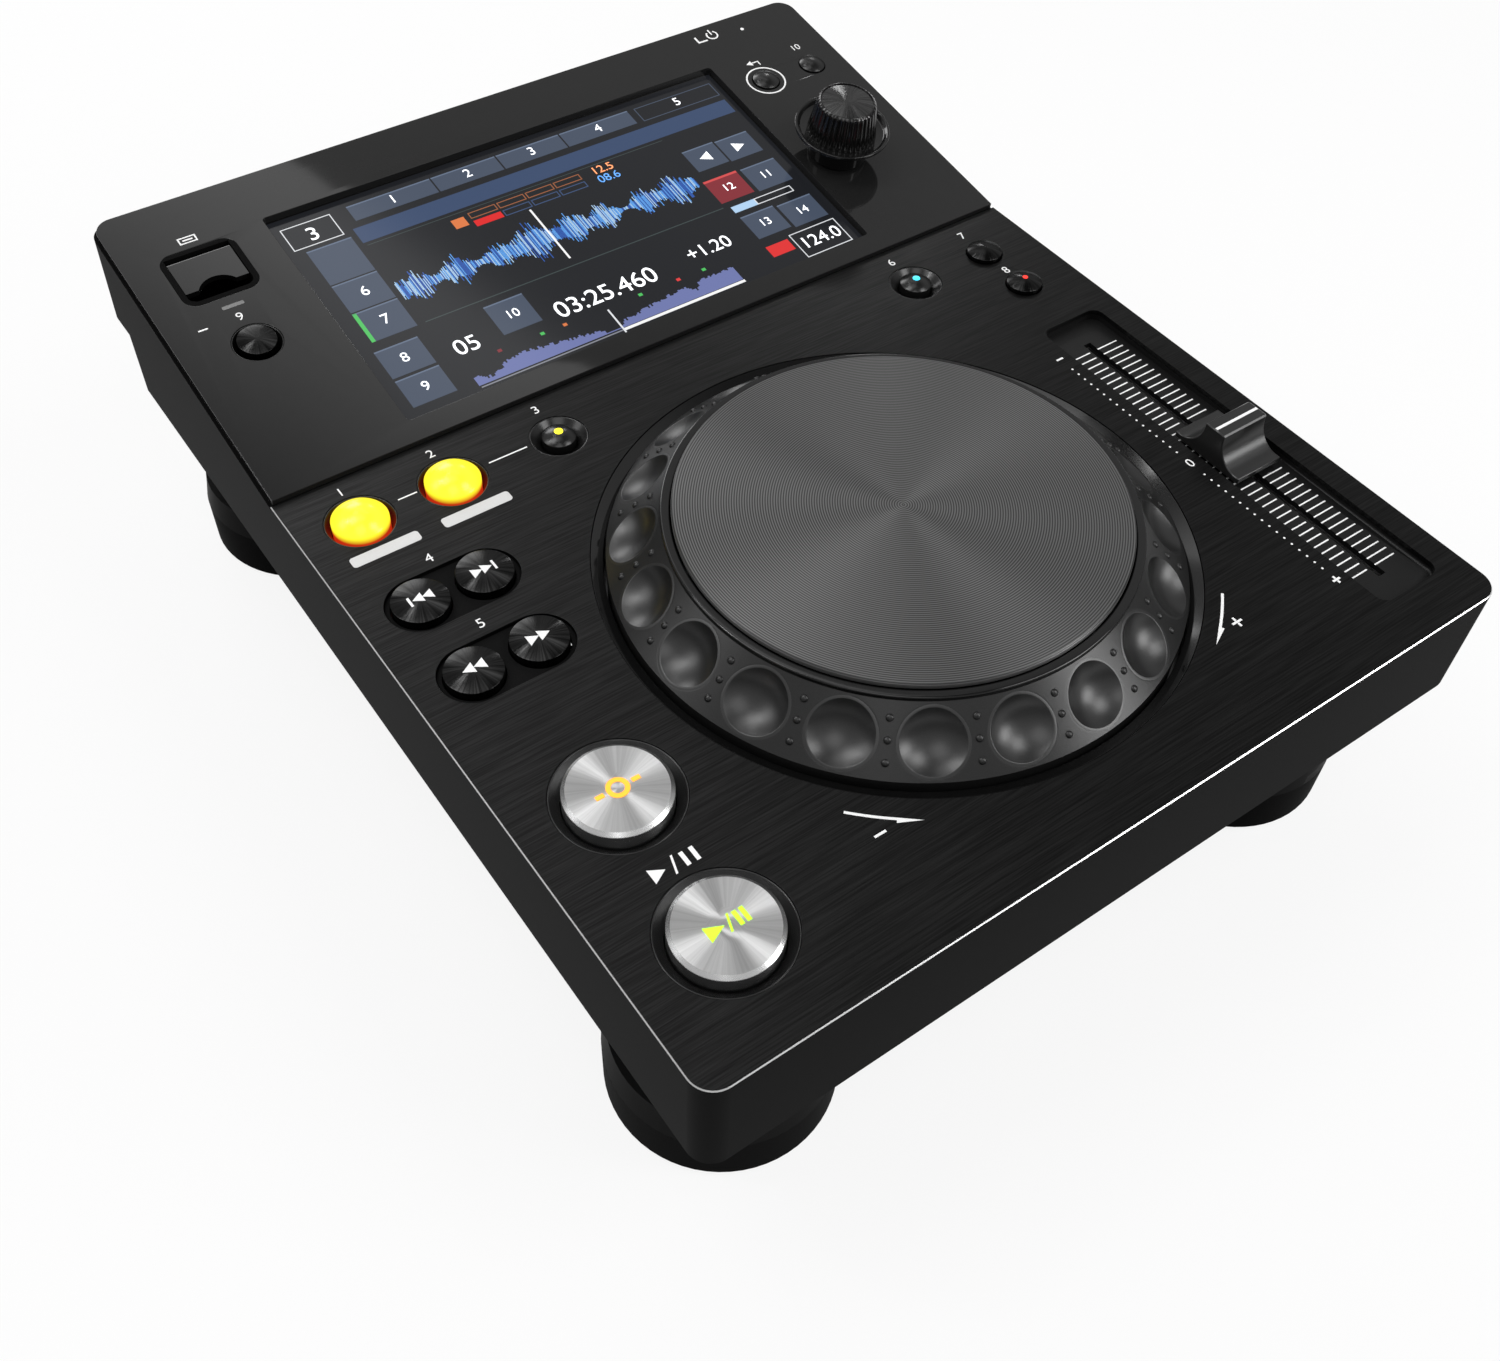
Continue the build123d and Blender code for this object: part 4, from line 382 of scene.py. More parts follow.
# The disc's rings paint the groove ridges lighter and the valleys darker, in step with the real grooves.
disc_black = spin(finish("grooved disc", rings, 0.05, 0.21, 0.0, 0.42, 0.9, groove_waves), 0.8)
spun_black = spin(finish("spun black", sheen, 0.012, 0.040, 0.03, 0.17, 1.0, {"Sectors": 16.0}), 0.97)
# The knob's face is a brighter copy of the spun black with stronger rays: a real spun pattern with painted sheen on
# it.
knob_painted_sheen = spin(finish("spun knob with painted sheen", sheen, 0.045, 0.14, 0.04, 0.2, 1.0, {"Sectors": 24.0}), 0.97)
fader_black = finish("fader tray", grain, 0.003, 0.005, 0.15, 0.45, 0.0, specular=0.3)
glass_black = finish("touch glass", grain, 0.006, 0.008, 0.0, 0.05, 0.0, even)
print("finishes", len(bpy.data.materials))

# %% [markdown]
# The camera stands above the player's front left corner, where the photograph was taken: its place and
# directions were fitted to the case's corners and the round holes. The light is a plain studio tent, bright above
# and dim near the table, with soft panels all round whose sheens cross on the spun metal, three small lamps for
# the glints, and a card that the glossy display panel reflects.

# %% Camera
photo_width = 1500.0
focal_pixels = 1587.18
sensor_width = 36.0
camera_place = (-0.18744, front_y - 0.10047, deck_top + 0.27101)
camera_axes = ((0.8147, -0.57892, 0.0335), (0.42947, 0.64118, 0.63596), (-0.38965, -0.50373, 0.77099))
lens = bpy.data.cameras.new("photo camera")
lens.sensor_width = sensor_width
lens.lens = sensor_width * focal_pixels / photo_width
lens.clip_start = 0.01
viewer = bpy.data.objects.new("photo camera", lens)
viewer.matrix_world = Matrix.Translation(camera_place) @ Matrix(camera_axes).transposed().to_4x4()
bpy.context.scene.collection.objects.link(viewer)
bpy.context.scene.camera = viewer
bpy.context.scene.view_settings.view_transform = "Standard"
print("camera at", [round(float(v), 4) for v in camera_place], "lens", round(lens.lens, 2))

# %% Lamps


def soft_panel(name, place, aim, size, power, lean=(0.0, 1.0, 0.02)):
    """A rectangular area lamp at a place, turned to face a point, with its long way along a direction."""
    lamp = bpy.data.lights.new(name, "AREA")
    lamp.shape = "RECTANGLE"
    lamp.size, lamp.size_y = size
    lamp.energy = power
    stand = bpy.data.objects.new(name, lamp)
    direction = np.array(aim, dtype=float) - np.array(place, dtype=float)
    back = -direction / np.linalg.norm(direction)
    side = np.cross(lean, back)
    side /= np.linalg.norm(side)
    turn_to = Matrix((side, np.cross(back, side), back)).transposed().to_4x4()
    stand.matrix_world = Matrix.Translation(place) @ turn_to
    bpy.context.scene.collection.objects.link(stand)
    return stand


lamp_aim = np.array([0.0, front_y + 0.09, deck_top])
lamp_reach = 1.2
# Each lamp: its way round and its rise in degrees, its side in metres and its power in watts.
lamp_places = {"front right panel": (312.0, 52.0, 0.44, 3.2), "low front right panel": (312.0, 22.0, 0.44, 4.0),
               "rear left panel": (141.0, 64.0, 0.44, 2.8), "low rear panel": (84.0, 22.0, 0.44, 2.4),
               "overhead panel": (90.0, 79.0, 0.44, 0.8), "low rear left panel": (145.0, 36.0, 0.44, 1.4),
               "front left panel": (232.0, 60.0, 0.60, 1.9), "small left lamp": (143.0, 50.0, 0.09, 0.9),
               "small rear lamp": (93.0, 57.0, 0.09, 0.35), "small right lamp": (50.0, 26.0, 0.09, 0.35)}
for name, (round_way, rise, size, power) in lamp_places.items():
    round_way, rise = np.radians(round_way), np.radians(rise)
    way = np.array([np.cos(rise) * np.cos(round_way), np.cos(rise) * np.sin(round_way), np.sin(rise)])
    soft_panel(name, lamp_aim + lamp_reach * way, lamp_aim, (size, size), power)
card_x, card_y, card_height, card_power, card_fade = 0.04, 0.742, deck_top + 1.2, 4.4, 0.48
card = soft_panel("reflected card", (card_x, card_y, card_height), (card_x, card_y, 0.0), (0.9, 1.1), card_power,
                  (-0.382, 0.924, 0.0))
card.data.use_nodes = True
tree = card.data.node_tree
spot = add_node(tree, "NewGeometry")
parts = add_node(tree, "SeparateXYZ")
fade = add_node(tree, "MapRange", {"From Min": card_fade}, interpolation_type="SMOOTHSTEP")
join(tree, (spot, "Parametric", parts, "Vector"), (parts, "X", fade, "Value"),
     (fade, "Result", tree.nodes["Emission"], "Strength"))
print("lamps", len(bpy.data.lights))

# %% Studio tent
# Each climb: the heights where it starts and ends, and the light at both. The two are multiplied.
tent_climbs = ((0.1, 0.5, 0.06, 0.48), (0.70, 0.90, 1.0, 0.25))
room = bpy.data.worlds.new("studio tent")
room.use_nodes = True
tree = room.node_tree
backdrop = tree.nodes["Background"]
set_inputs(backdrop, {"Color": grey(1.0)})
way = add_node(tree, "TexCoord")
parts = add_node(tree, "SeparateXYZ")
band = add_node(tree, "Math", operation="MULTIPLY")
for number, climb in enumerate(tent_climbs):
    values = dict(zip(("From Min", "From Max", "To Min", "To Max"), climb))
    level = add_node(tree, "MapRange", values, interpolation_type="SMOOTHSTEP")
    join(tree, (parts, "Z", level, "Value"), (level, "Result", band, number))
join(tree, (way, "Generated", parts, "Vector"), (band, "Value", backdrop, "Strength"))
bpy.context.scene.world = room
print("tent climbs", len(tent_climbs))

# %% Floor
floor_reach, floor_tone, seen_share = 6.0, 0.85, 0.86
floor_mesh = bpy.data.meshes.new("floor")
floor_points = floor_reach * np.array([(-1, -1, 0), (1, -1, 0), (1, 1, 0), (-1, 1, 0)])
floor_mesh.from_pydata(floor_points.tolist(), [], [(0, 1, 2, 3)])
floor = bpy.data.objects.new("floor", floor_mesh)
bpy.context.scene.collection.objects.link(floor)
pale, tree, shader = shaded("pale floor", {"Base Color": grey(floor_tone), "Roughness": 0.9,
                                           "Specular IOR Level": 0.0})
glow = add_node(tree, "Emission", {"Color": grey(1.0)})
path = add_node(tree, "LightPath")
seen = add_node(tree, "Math", operation="MAXIMUM")
share = add_node(tree, "Math", {1: seen_share}, operation="MULTIPLY")
blend = add_node(tree, "MixShader")
join(tree, (path, "Is Camera Ray", seen, 0), (path, "Is Glossy Ray", seen, 1), (seen, "Value", share, 0),
     (share, "Value", blend, "Fac"), (shader, "BSDF", blend, 1), (glow, "Emission", blend, 2),
     (blend, "Shader", tree.nodes["Material Output"], "Surface"))
floor_mesh.materials.append(pale)
print("floor", 2 * floor_reach, "m wide")

# %% [markdown]
# The case, the feet and the hidden parts have the right shape in CAD. A CAD node is loose triangles, so
# a merged copy with smooth shading stands for each visible one, and hidden ones only get their material.

# %% Smooth copies of CAD nodes
body_of_node = {node: body for body, members in frame["record"]["behaviour"]["bodies"].items() for node in members}


def paint(mesh, material):
    """Make a material the only one of a mesh."""
    mesh.materials.clear()
    mesh.materials.append(material)


def smooth_copy(node, material):
    """A merged, smooth-shaded copy of a CAD node that stands for it."""
    mesh = frame["nodes"][node].data.copy()
    mesh.name = node + "_smooth"
    tidy_mesh(mesh, turn_outwards=False)
    paint(mesh, material)
    made = settle(node + "_smooth", mesh, body_of_node[node])
    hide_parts(node)


smooth_nodes = {
    "upper_case": case_black, "bottom_cover": cover_black, "rear_panel": case_black, "foot_legs": leg_black,
    "foot_pads": rubber_black, "case_screws": steel, "fader_tray": fader_black, "usb_well": case_black,
    "usb_door": gloss_black, "usb_socket": steel, "rca_jacks": gold, "rear_sockets": tray_black,
    "power_button": gloss_black,
}
inner_nodes = (
    (steel, "inner_screws usb_door_pin jog_spindle fader_body lcd_frame browse_shaft"),
    (tray_black, "jog_touch_sheet encoder_disc jog_sensor fader_carriage browse_plunger browse_encoder tact_switches"),
    (brass, "jog_bearing"), (glass_black, "lcd_module"),
    (board_green, "main_board left_board right_board panel_boards jack_board"))
for node, material in smooth_nodes.items():
    smooth_copy(node, material)
for material, nodes in inner_nodes:
    for node in nodes.split():
        paint(frame["nodes"][node].data, material)
print("copied", len(smooth_nodes), "CAD nodes")

# %% [markdown]
# The deck and the display panel are flat sheets with many holes. They could be cut with booleans, but a flat
# filled curve gives the same sheet in one go: the first loop is the outline and every loop inside it is a hole.
# The curve is drawn in millimetres, because Blender's fill works better on larger numbers.

# %% Loops and flat sheets
per_metre = 1000.0


def arc(centre, radius, angle):
    """Flat points at a radius and some angles about a centre."""
    return around(centre, radius, angle, 0.0)[..., :2]


def round_loop(centre, radius, segments=128):
    """A circle as a closed loop of points."""
    return arc(centre, radius, np.linspace(0.0, 2 * np.pi, segments, endpoint=False))


def box_loop(low, high, radii, steps=10):
    """A rectangle whose corners are quarter circles, one radius each, from the low left corner round."""
    quarter = np.linspace(0.0, np.pi / 2, steps + 1)
    corners = ((low[0], low[1], 1, 1, np.pi), (high[0], low[1], -1, 1, 1.5 * np.pi),
               (high[0], high[1], -1, -1, 0.0), (low[0], high[1], 1, -1, 0.5 * np.pi))
    return np.concatenate([arc((x + sx * radius, y + sy * radius), radius, first + quarter)
                           for (x, y, sx, sy, first), radius in zip(corners, radii)])


def pill_loop(centre, half_pitch, radius, steps=48):
    """Two half circles joined by straight sides, lying along the first axis."""
    half = np.linspace(-np.pi / 2, np.pi / 2, steps)
    return np.concatenate([arc((centre[0] + side * half_pitch, centre[1]), side * radius, half) for side in (1, -1)])


def mesh_of(data):
    """The points in metres and the faces of a flat curve or text drawn in millimetres."""
    draft = bpy.data.objects.new("draft", data)
    bpy.context.scene.collection.objects.link(draft)
    mesh = bpy.data.meshes.new_from_object(draft.evaluated_get(bpy.context.evaluated_depsgraph_get()))
    points = np.empty(len(mesh.vertices) * 3)
    mesh.vertices.foreach_get("co", points)
    faces = [list(polygon.vertices) for polygon in mesh.polygons]
    bpy.data.objects.remove(draft)
    bpy.data.meshes.remove(mesh)
    return points.reshape(-1, 3) / per_metre, faces


def filled(loops, thickness, edge=0.0):
    """Points and faces of a flat sheet with holes: a filled curve, thickened evenly, with bevelled edges."""
    curve = bpy.data.curves.new("loops", "CURVE")
    curve.dimensions = "2D"
    curve.fill_mode = "BOTH"
    curve.extrude = (thickness / 2 - edge) * per_metre
    curve.bevel_depth = edge * per_metre
    curve.bevel_resolution = 1
    curve.offset = -edge * per_metre
    for loop in loops:
        spline = curve.splines.new("POLY")
        spline.points.add(len(loop) - 1)
        flat = np.column_stack([loop * per_metre, np.zeros(len(loop)), np.ones(len(loop))])
        spline.points.foreach_set("co", flat.ravel())
        spline.use_cyclic_u = True
    points, faces = mesh_of(curve)
    bpy.data.curves.remove(curve)
    return points, faces


def sheet(name, loops, plane, top, thickness, material, body, edge=0.0):
    """A flat sheet with holes, laid on a working plane with its upper face at a height."""
    points, faces = filled(loops, thickness, edge)
    points = points + np.array([0.0, 0.0, top - thickness / 2])
    return piece(name, on_plane(plane, points), faces, material, body)


print("sheet tools ready")

# %% [markdown]
# The deck is a brushed black plate. Its front and side edges are chamfered to bare metal after the black
# finish, which is the bright line round the deck, so the chamfer and the black side below it are strips of their own.

# %% Deck plate
left_edge, right_edge = float(deck_low[0]), float(deck_high[0])
deck_length = float(deck_high[1] - deck_low[1])
deck_corner, deck_chamfer, deck_thickness, deck_hole_edge = 0.006, 0.00026, 0.0015, 0.00012
square_corner, chamfer_drop = 0.00002, 0.00002
jog_place = joints["jog_spin"]["pos_m"]
jog_centre = (jog_place[0], jog_place[1] - front_y)
jog_hole, round_steps = 0.073, 256


def box_middle(name):
    """The middle of a CAD node's box."""
    low, high = (np.array(corner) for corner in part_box(name))
    return (low + high) / 2


def button_place(name):
    """Where a piece stands on the deck, from its CAD box: across, and back from the front edge."""
    middle = box_middle(name)
    return (float(middle[0]), float(middle[1] - front_y))


ring_radii = {"cue_button": 0.0149, "play_button": 0.0149, "loop_in_button": 0.0088, "loop_out_button": 0.0088,
              "reloop_button": 0.0075, "vinyl_mode_button": 0.0075}
small_holes = {"tempo_range_button": 0.00525, "key_lock_button": 0.00525}
pair_half, pair_end = 0.00835, 0.0084
pair_rows = {name: (button_place(name + "_back_button")[0] + pair_half, button_place(name + "_back_button")[1])
             for name in ("track", "search")}
fader_centre = np.array(button_place("fader_tray"))
fader_half, fader_corner = np.array([0.010, 0.060]), 0.003

deck_holes = [round_loop(jog_centre, jog_hole, round_steps)]
deck_holes += [round_loop(button_place(name), radius) for name, radius in {**ring_radii, **small_holes}.items()]
deck_holes += [pill_loop(place, pair_half, pair_end) for place in pair_rows.values()]
deck_holes.append(box_loop(fader_centre - fader_half, fader_centre + fader_half, [fader_corner] * 4))


def deck_outline(inset):
    """The deck's outline, moved inwards: round at the front corners, square at the rear."""
    corners = [deck_corner - inset] * 2 + [square_corner] * 2
    return box_loop((left_edge + inset, inset), (right_edge - inset, deck_length), corners)


deck = sheet("deck_sheet", [deck_outline(deck_chamfer)] + deck_holes, deck_plane, 0.0, deck_thickness, deck_black,
             "case", deck_hole_edge)
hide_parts("deck_plate")


def strip_path(inset, height):
    """The deck's outline down its left side, along the front and up its right side, at a height."""
    rounded = deck_outline(inset)
    front = rounded[:len(rounded) // 2]
    path = np.concatenate([[(left_edge + inset, deck_length)], front, [(right_edge - inset, deck_length)]])
    return np.column_stack([path, np.full(len(path), height)])


def deck_edge(name, steps, material):
    """A closed profile of (inset, height) steps carried round the deck's left, front and right edge."""
    strip = np.stack([strip_path(inset, height) for inset, height in steps], axis=1)
    sides, count = len(steps), len(strip)
    faces = grid_faces(count, sides).tolist()
    faces += [list(range(sides)), list(range((count - 1) * sides, count * sides))]
    piece(name, on_plane(deck_plane, strip), faces, material, "case")


deck_edge("deck_chamfer_strip",
          ((deck_chamfer, -chamfer_drop), (0.0, -deck_chamfer), (deck_chamfer, -deck_chamfer)), edge_bright)
deck_edge("deck_side", ((0.0, -deck_chamfer), (0.0, -deck_thickness), (deck_chamfer, -deck_thickness),
                        (deck_chamfer, -deck_chamfer)), case_black)
print("deck", round(deck_length, 4), "with", len(deck_holes), "holes")

# %% [markdown]
# The display panel is one glossy black sheet on the slope. The screen sits under it in a window, with touch
# glass just below the surface.

# %% Display panel
panel_half, panel_length, panel_thickness = 0.1142, 0.1065, 0.0022
panel_corner, panel_foot_corner, panel_edge, window_corner = 0.005, 0.0002, 0.00015, 0.001
window_low, window_high = np.array([-0.0740, 0.0070]), np.array([0.0730, 0.0887])


def panel_place(name):
    """Where a piece stands on the display panel, from its CAD box: across, and up the slope."""
    offset = box_middle(name) - panel_origin
    return (float(offset @ across), float(offset @ panel_back))


port_half = np.array([0.01055, 0.01015])
port_centre = np.array([-0.0944, 0.07675])
port_corner = 0.004
panel_rounds = {"usb_stop_button": 0.0066, "back_button": 0.00435, "tag_button": 0.0042}
knob_hole = 0.0048
panel_holes = [box_loop(window_low, window_high, [window_corner] * 4),
               box_loop(port_centre - port_half, port_centre + port_half, [port_corner] * 4),
               round_loop((knob_x, knob_along), knob_hole)]
panel_holes += [round_loop(panel_place(name), radius) for name, radius in panel_rounds.items()]
panel_outline = box_loop((-panel_half, 0.0), (panel_half, panel_length),
                         [panel_foot_corner] * 2 + [panel_corner] * 2)
panel = sheet("panel_sheet", [panel_outline] + panel_holes, panel_plane, 0.0, panel_thickness, panel_black, "case",
              panel_edge)
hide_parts("display_panel")
print("panel", panel_length, "with", len(panel_holes), "holes")

# %% [markdown]
# The jog wheel's grip is a cone with twenty round finger dimples pressed into it. The cone is a grid that sinks
# under each dimple, and the dimple is a round grid laid over that bed, with its rows close together at the rim, so
# the rim is a crisp line. Both use one map onto the cone. A dimple is part of a ball, so its depth is the ball's cap
# over that point, and a soft maximum with zero rounds its rim.

# %% Jog grip
cone_top, cone_foot = np.array([0.0565, 0.0120]), np.array([0.0693, 0.0004])
cone_line = cone_foot - cone_top
slant = np.linalg.norm(cone_line)
cone_out = np.array([-cone_line[1], cone_line[0]]) / slant
cone_middle = cone_top[0] + cone_line[0] / 2
skirt_foot = -0.005
dimples, dimple_opening, dimple_depth, dimple_phase = 20, 0.0074, 0.0026, np.radians(3.8)
bed_margin, bed_drop, lip_margin, lip_lift, rim_softness = 0.00035, 0.0005, 0.0009, 0.00002, 0.00003
bowl_wall, bowl_shares = 0.0003, np.concatenate([np.linspace(0.0, 0.94, 14), np.linspace(0.95, 1.04, 13)])
grip_rows, grip_columns = 44, 960
grip_wall = np.array([[0.06932, 0.00025], [0.0693, 0.0], [0.0693, skirt_foot], [0.0645, skirt_foot],
                      [0.0548, 0.0095], cone_top])


def ball_depth(reach, opening, depth):
    """How far a ball's cap of an opening and a depth sinks at a distance from its middle, with a rounded rim."""
    ball = ball_radius(opening, depth)
    under = np.sqrt(np.maximum(ball ** 2 - reach ** 2, 0.0)) - (ball - depth)
    return rim_softness * np.logaddexp(0.0, under / rim_softness)


def on_cone(along, angle, depth):
    """Deck points on the cone: a way along its slant from the middle, an angle and a depth along its normal."""
    share = along / slant + 0.5
    radius = cone_top[0] + share * cone_line[0] - depth * cone_out[0]
    height = cone_top[1] + share * cone_line[1] - depth * cone_out[1]
    return around(jog_centre, radius, angle, height)


def jog_grip():
    """The cone as a grid, sunk under each dimple, with a small foot, a skirt and a wall inside."""
    angle = np.linspace(2 * np.pi, 0.0, grip_columns, endpoint=False)
    along = np.linspace(-slant / 2, slant / 2, grip_rows)[:, None] + 0 * angle
    pitch = 2 * np.pi / dimples
    swing = (angle - dimple_phase + pitch / 2) % pitch - pitch / 2
    bed = ball_depth(np.hypot(along, swing * cone_middle), dimple_opening + bed_margin, dimple_depth + bed_drop)
    wall = around(jog_centre, grip_wall[:, :1], angle, grip_wall[:, 1:])
    return np.concatenate([on_cone(along, angle, bed), wall])


def dimple_bowls(sides=80):
    """Thin cups over the dimples: rows from the middle outwards, sunk by the ball's cap, and back below."""
    lip = dimple_opening + lip_margin * np.array([0.5, 1.0])
    reach = np.concatenate([bowl_shares * dimple_opening, lip])[:, None]
    under = np.linspace(1.0, 0.0, 5)[:, None] * dimple_opening
    turn = np.linspace(2 * np.pi, 0.0, sides, endpoint=False)
    depth = ball_depth(reach, dimple_opening, dimple_depth) - lip_lift
    depth[-1] = lip_lift
    depth = np.concatenate([depth, ball_depth(under, dimple_opening, dimple_depth) + bowl_wall])
    reach = np.concatenate([reach, under])
    middle = dimple_phase + 2 * np.pi / dimples * np.arange(dimples)[:, None, None]
    angle = middle + reach * np.sin(turn) / cone_middle
    points = on_cone(reach * np.cos(turn) + 0 * angle, angle, depth + 0 * angle)
    steps = np.arange(dimples)[:, None, None] * len(reach) * sides
    return points, (grid_faces(len(reach), sides) + steps).reshape(-1, 4)


grip_points = jog_grip()
grip = piece("jog_grip", on_plane(deck_plane, grip_points), grid_faces(len(grip_points), grip_columns),
             grip_black, "jog_wheel")
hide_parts("jog_ring")
points, faces = dimple_bowls()
# The dimples get the lighter copy of the grip's finish, a painted highlight.
piece("jog_bowls", on_plane(deck_plane, points), faces, dimple_highlight_black, "jog_wheel")
rim_profile = soften([(0.0542, 0.008), (0.0542, 0.0132), (0.0565, 0.0132), (0.0565, 0.0118)], 0.0005)
turned_piece("jog_rim", rim_profile, deck_plane, jog_centre, gloss_black, "jog_wheel", round_steps, mapped=False)
print("grip grid", grip_points.shape)

# %% [markdown]
# Between the dimples stand rows of three small raised dots. They are flat balls let half into the cone, all made at
# once: one grid of a ball, moved to sixty places by adding arrays.

# %% Jog dots
dot_shares = np.array([0.22, 0.50, 0.78])
dot_radius, dot_height = 0.0009, 0.00055


def jog_dots(rows=9, columns=16):
    """Balls let half into the cone: a ring of radius cos(t) raised by sin(t), scaled and set at each place."""
    line = cone_line / slant
    angle = dimple_phase + (np.arange(dimples) + 0.5) * 2 * np.pi / dimples
    place = cone_top + dot_shares[:, None] * cone_line
    outward = np.stack([np.cos(angle), np.sin(angle), 0 * angle], axis=-1)
    sideways = np.stack([-np.sin(angle), np.cos(angle), 0 * angle], axis=-1)
    up = np.array([0.0, 0.0, 1.0])
    slope = line[0] * outward + line[1] * up
    normal = -line[1] * outward + line[0] * up
    centre = (place[:, None, :1] * outward + place[:, None, 1:] * up).reshape(-1, 1, 1, 3)
    t = np.linspace(-np.pi / 2, np.pi / 2, rows)[:, None, None]
    turn = np.linspace(0.0, 2 * np.pi, columns, endpoint=False)[:, None]
    spread = [np.tile(v, (len(dot_shares), 1)).reshape(-1, 1, 1, 3) for v in (slope, sideways, normal)]
    local = (centre + dot_radius * np.cos(t) * (np.cos(turn) * spread[0] + np.sin(turn) * spread[1])
             + dot_height * np.sin(t) * spread[2])
    faces = grid_faces(rows, columns)
    steps = np.arange(len(local))[:, None, None] * rows * columns
    return local + np.array([jog_centre[0], jog_centre[1], 0.0]), (faces + steps).reshape(-1, 4)


points, faces = jog_dots()
piece("jog_dots", on_plane(deck_plane, points), faces, grip_black, "jog_wheel")
print("dots", points.shape[0])

# %% [markdown]
# The disc in the middle is metal with fine turned grooves, which spread the light into a bow tie. The grooves
# are real here: a fine wave in the profile, so the sheen follows the light from every side. Its colour also paints
# shade into the groove valleys and a highlight on the ridges.

# %% Jog disc and bezel
disc_radius, disc_top, disc_foot, disc_land, disc_edge = 0.0539, 0.0145, 0.0130, 0.0006, 0.0004
groove_depth, disc_steps = 0.000030, 224
groove_radius = np.arange(0.0, disc_radius - disc_land, groove_pitch / 3)
groove_height = disc_top - groove_depth * (1 - np.cos(2 * np.pi * groove_radius / groove_pitch)) / 2
disc_profile = np.concatenate([np.column_stack([groove_radius, groove_height]),
                               [[disc_radius - disc_edge, disc_top], [disc_radius, disc_top - disc_edge],
                                [disc_radius, disc_foot], [0.0, disc_foot]]])
disc = turned_piece("jog_disc", disc_profile, deck_plane, jog_centre, disc_black, "jog_top", disc_steps)
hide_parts("jog_top_plate")
smooth_copy("jog_well", gloss_black)
dish_profile = soften([(0.0703, -0.0060), (0.0700, -0.0017), (0.07285, -0.0002), (0.07295, -0.0012)], 0.0001)
turned_piece("jog_dish", dish_profile, deck_plane, jog_centre, gloss_black, "case", round_steps, mapped=False)
print("disc rows", len(disc_profile))

# %% [markdown]
# Every round button is a profile turned about its own axis: a ball's cap on top, a small rounded edge and a
# straight skirt that goes down through the deck. The two big ones are spun silver with a bright chamfer.

# %% Button tools
button_foot, cap_gap, dome_rows = -0.0042, 0.00025, 24
glow_foot, glow_crown = -0.0012, 0.0006


def dome_profile(radius, rise, dome, edge):
    """A ball's cap of a given radius and height, a rounded edge and a skirt, from the pole outwards."""
    ball = ball_radius(radius, dome)
    r = np.linspace(0.0, radius, dome_rows)
    top = np.column_stack([r, rise - ball + np.sqrt(ball ** 2 - r ** 2)])
    corner = soften([top[-2], top[-1], (radius, button_foot)], edge)
    return np.concatenate([top[:-2], corner])


def seat(name):
    """The plane that a button stands on and its place there."""
    return (panel_plane, panel_place(name)) if name in panel_rounds else (deck_plane, button_place(name))


def lit_finish(name, low_colour, high_colour, low_height, high_height):
    """A glowing plastic whose colour runs from its foot to its crown, by height."""
    made, tree, shader = shaded(name, {"Base Color": low_colour, "Roughness": 0.25, "Emission Strength": 1.0})
    where = add_node(tree, "TexCoord")
    axes = add_node(tree, "SeparateXYZ")
    climb = add_node(tree, "MapRange", {"From Min": low_height, "From Max": high_height})
    mix = add_node(tree, "Mix", {6: low_colour, 7: high_colour}, data_type="RGBA")
    join(tree, (where, "Object", axes, "Vector"), (axes, "Z", climb, "Value"), (climb, "Result", mix, "Factor"),
         (mix, 2, shader, "Emission Color"))
    return made


amber = lit_finish("lit amber", (0.45, 0.02, 0.005, 1.0), (0.94, 0.98, 0.03, 1.0), deck_top + glow_foot,
                   deck_top + glow_crown)
print("button tools ready")

# %% Button caps
transport_radius, transport_face, transport_edge = 0.0120, 0.01105, 0.00242
transport_top = [(0.0, 0.0026), (0.004, 0.00258), (0.008, 0.00252), (transport_face, transport_edge),
                 (transport_face, button_foot)]
transport_rim = soften([(transport_face, transport_edge), (transport_radius, 0.00165), (transport_radius, button_foot),
                        (transport_face, button_foot)], 0.00015)
for name in ("cue", "play"):
    plane, place = seat(name + "_button")
    rim = turned_piece(name + "_rim", transport_rim, plane, place, silver_rim, name + "_button_body")
    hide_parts(name + "_button")
    turned_piece(name + "_top", transport_top, plane, place, silver, name + "_button_body")
# Each dome: the cap's radius, its rise over the plane, the ball's height and the edge's rounding.
lens_dome, ringed_dome = (0.0070, 0.0042, 0.0034, 0.0004), (0.0044, 0.0016, 0.0016, 0.0003)
small_dome, pair_dome = (0.0050, 0.0024, 0.0013, 0.0004), (0.0069, 0.0020, 0.0008, 0.0012)
stop_dome, back_dome = (0.0051, 0.0014, 0.0005, 0.0003), (0.0041, 0.0016, 0.0012, 0.0003)
tag_dome = (0.00395, 0.0016, 0.0012, 0.0003)
cap_kinds = ((lens_dome, amber, "loop_in loop_out"), (ringed_dome, button_black, "reloop vinyl_mode"),
             (small_dome, spun_black, "tempo_range key_lock"),
             (pair_dome, spun_black, "track_back track_forward search_back search_forward"),
             (stop_dome, spun_black, "usb_stop"), (back_dome, button_black, "back"), (tag_dome, button_black, "tag"))
domed_caps = {name: (dome, material) for dome, material, names in cap_kinds for name in names.split()}
for name, (dome, material) in domed_caps.items():
    title = name + ("_lens" if material is amber else "_cap")
    made = turned_piece(title, dome_profile(*dome), *seat(name + "_button"), material, name + "_button_body")
    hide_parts(name + "_button")
print("caps", len(domed_caps) + 2)

# %% [markdown]
# Most buttons sit in a dished ring. The search and track pairs share a long shallow dish.

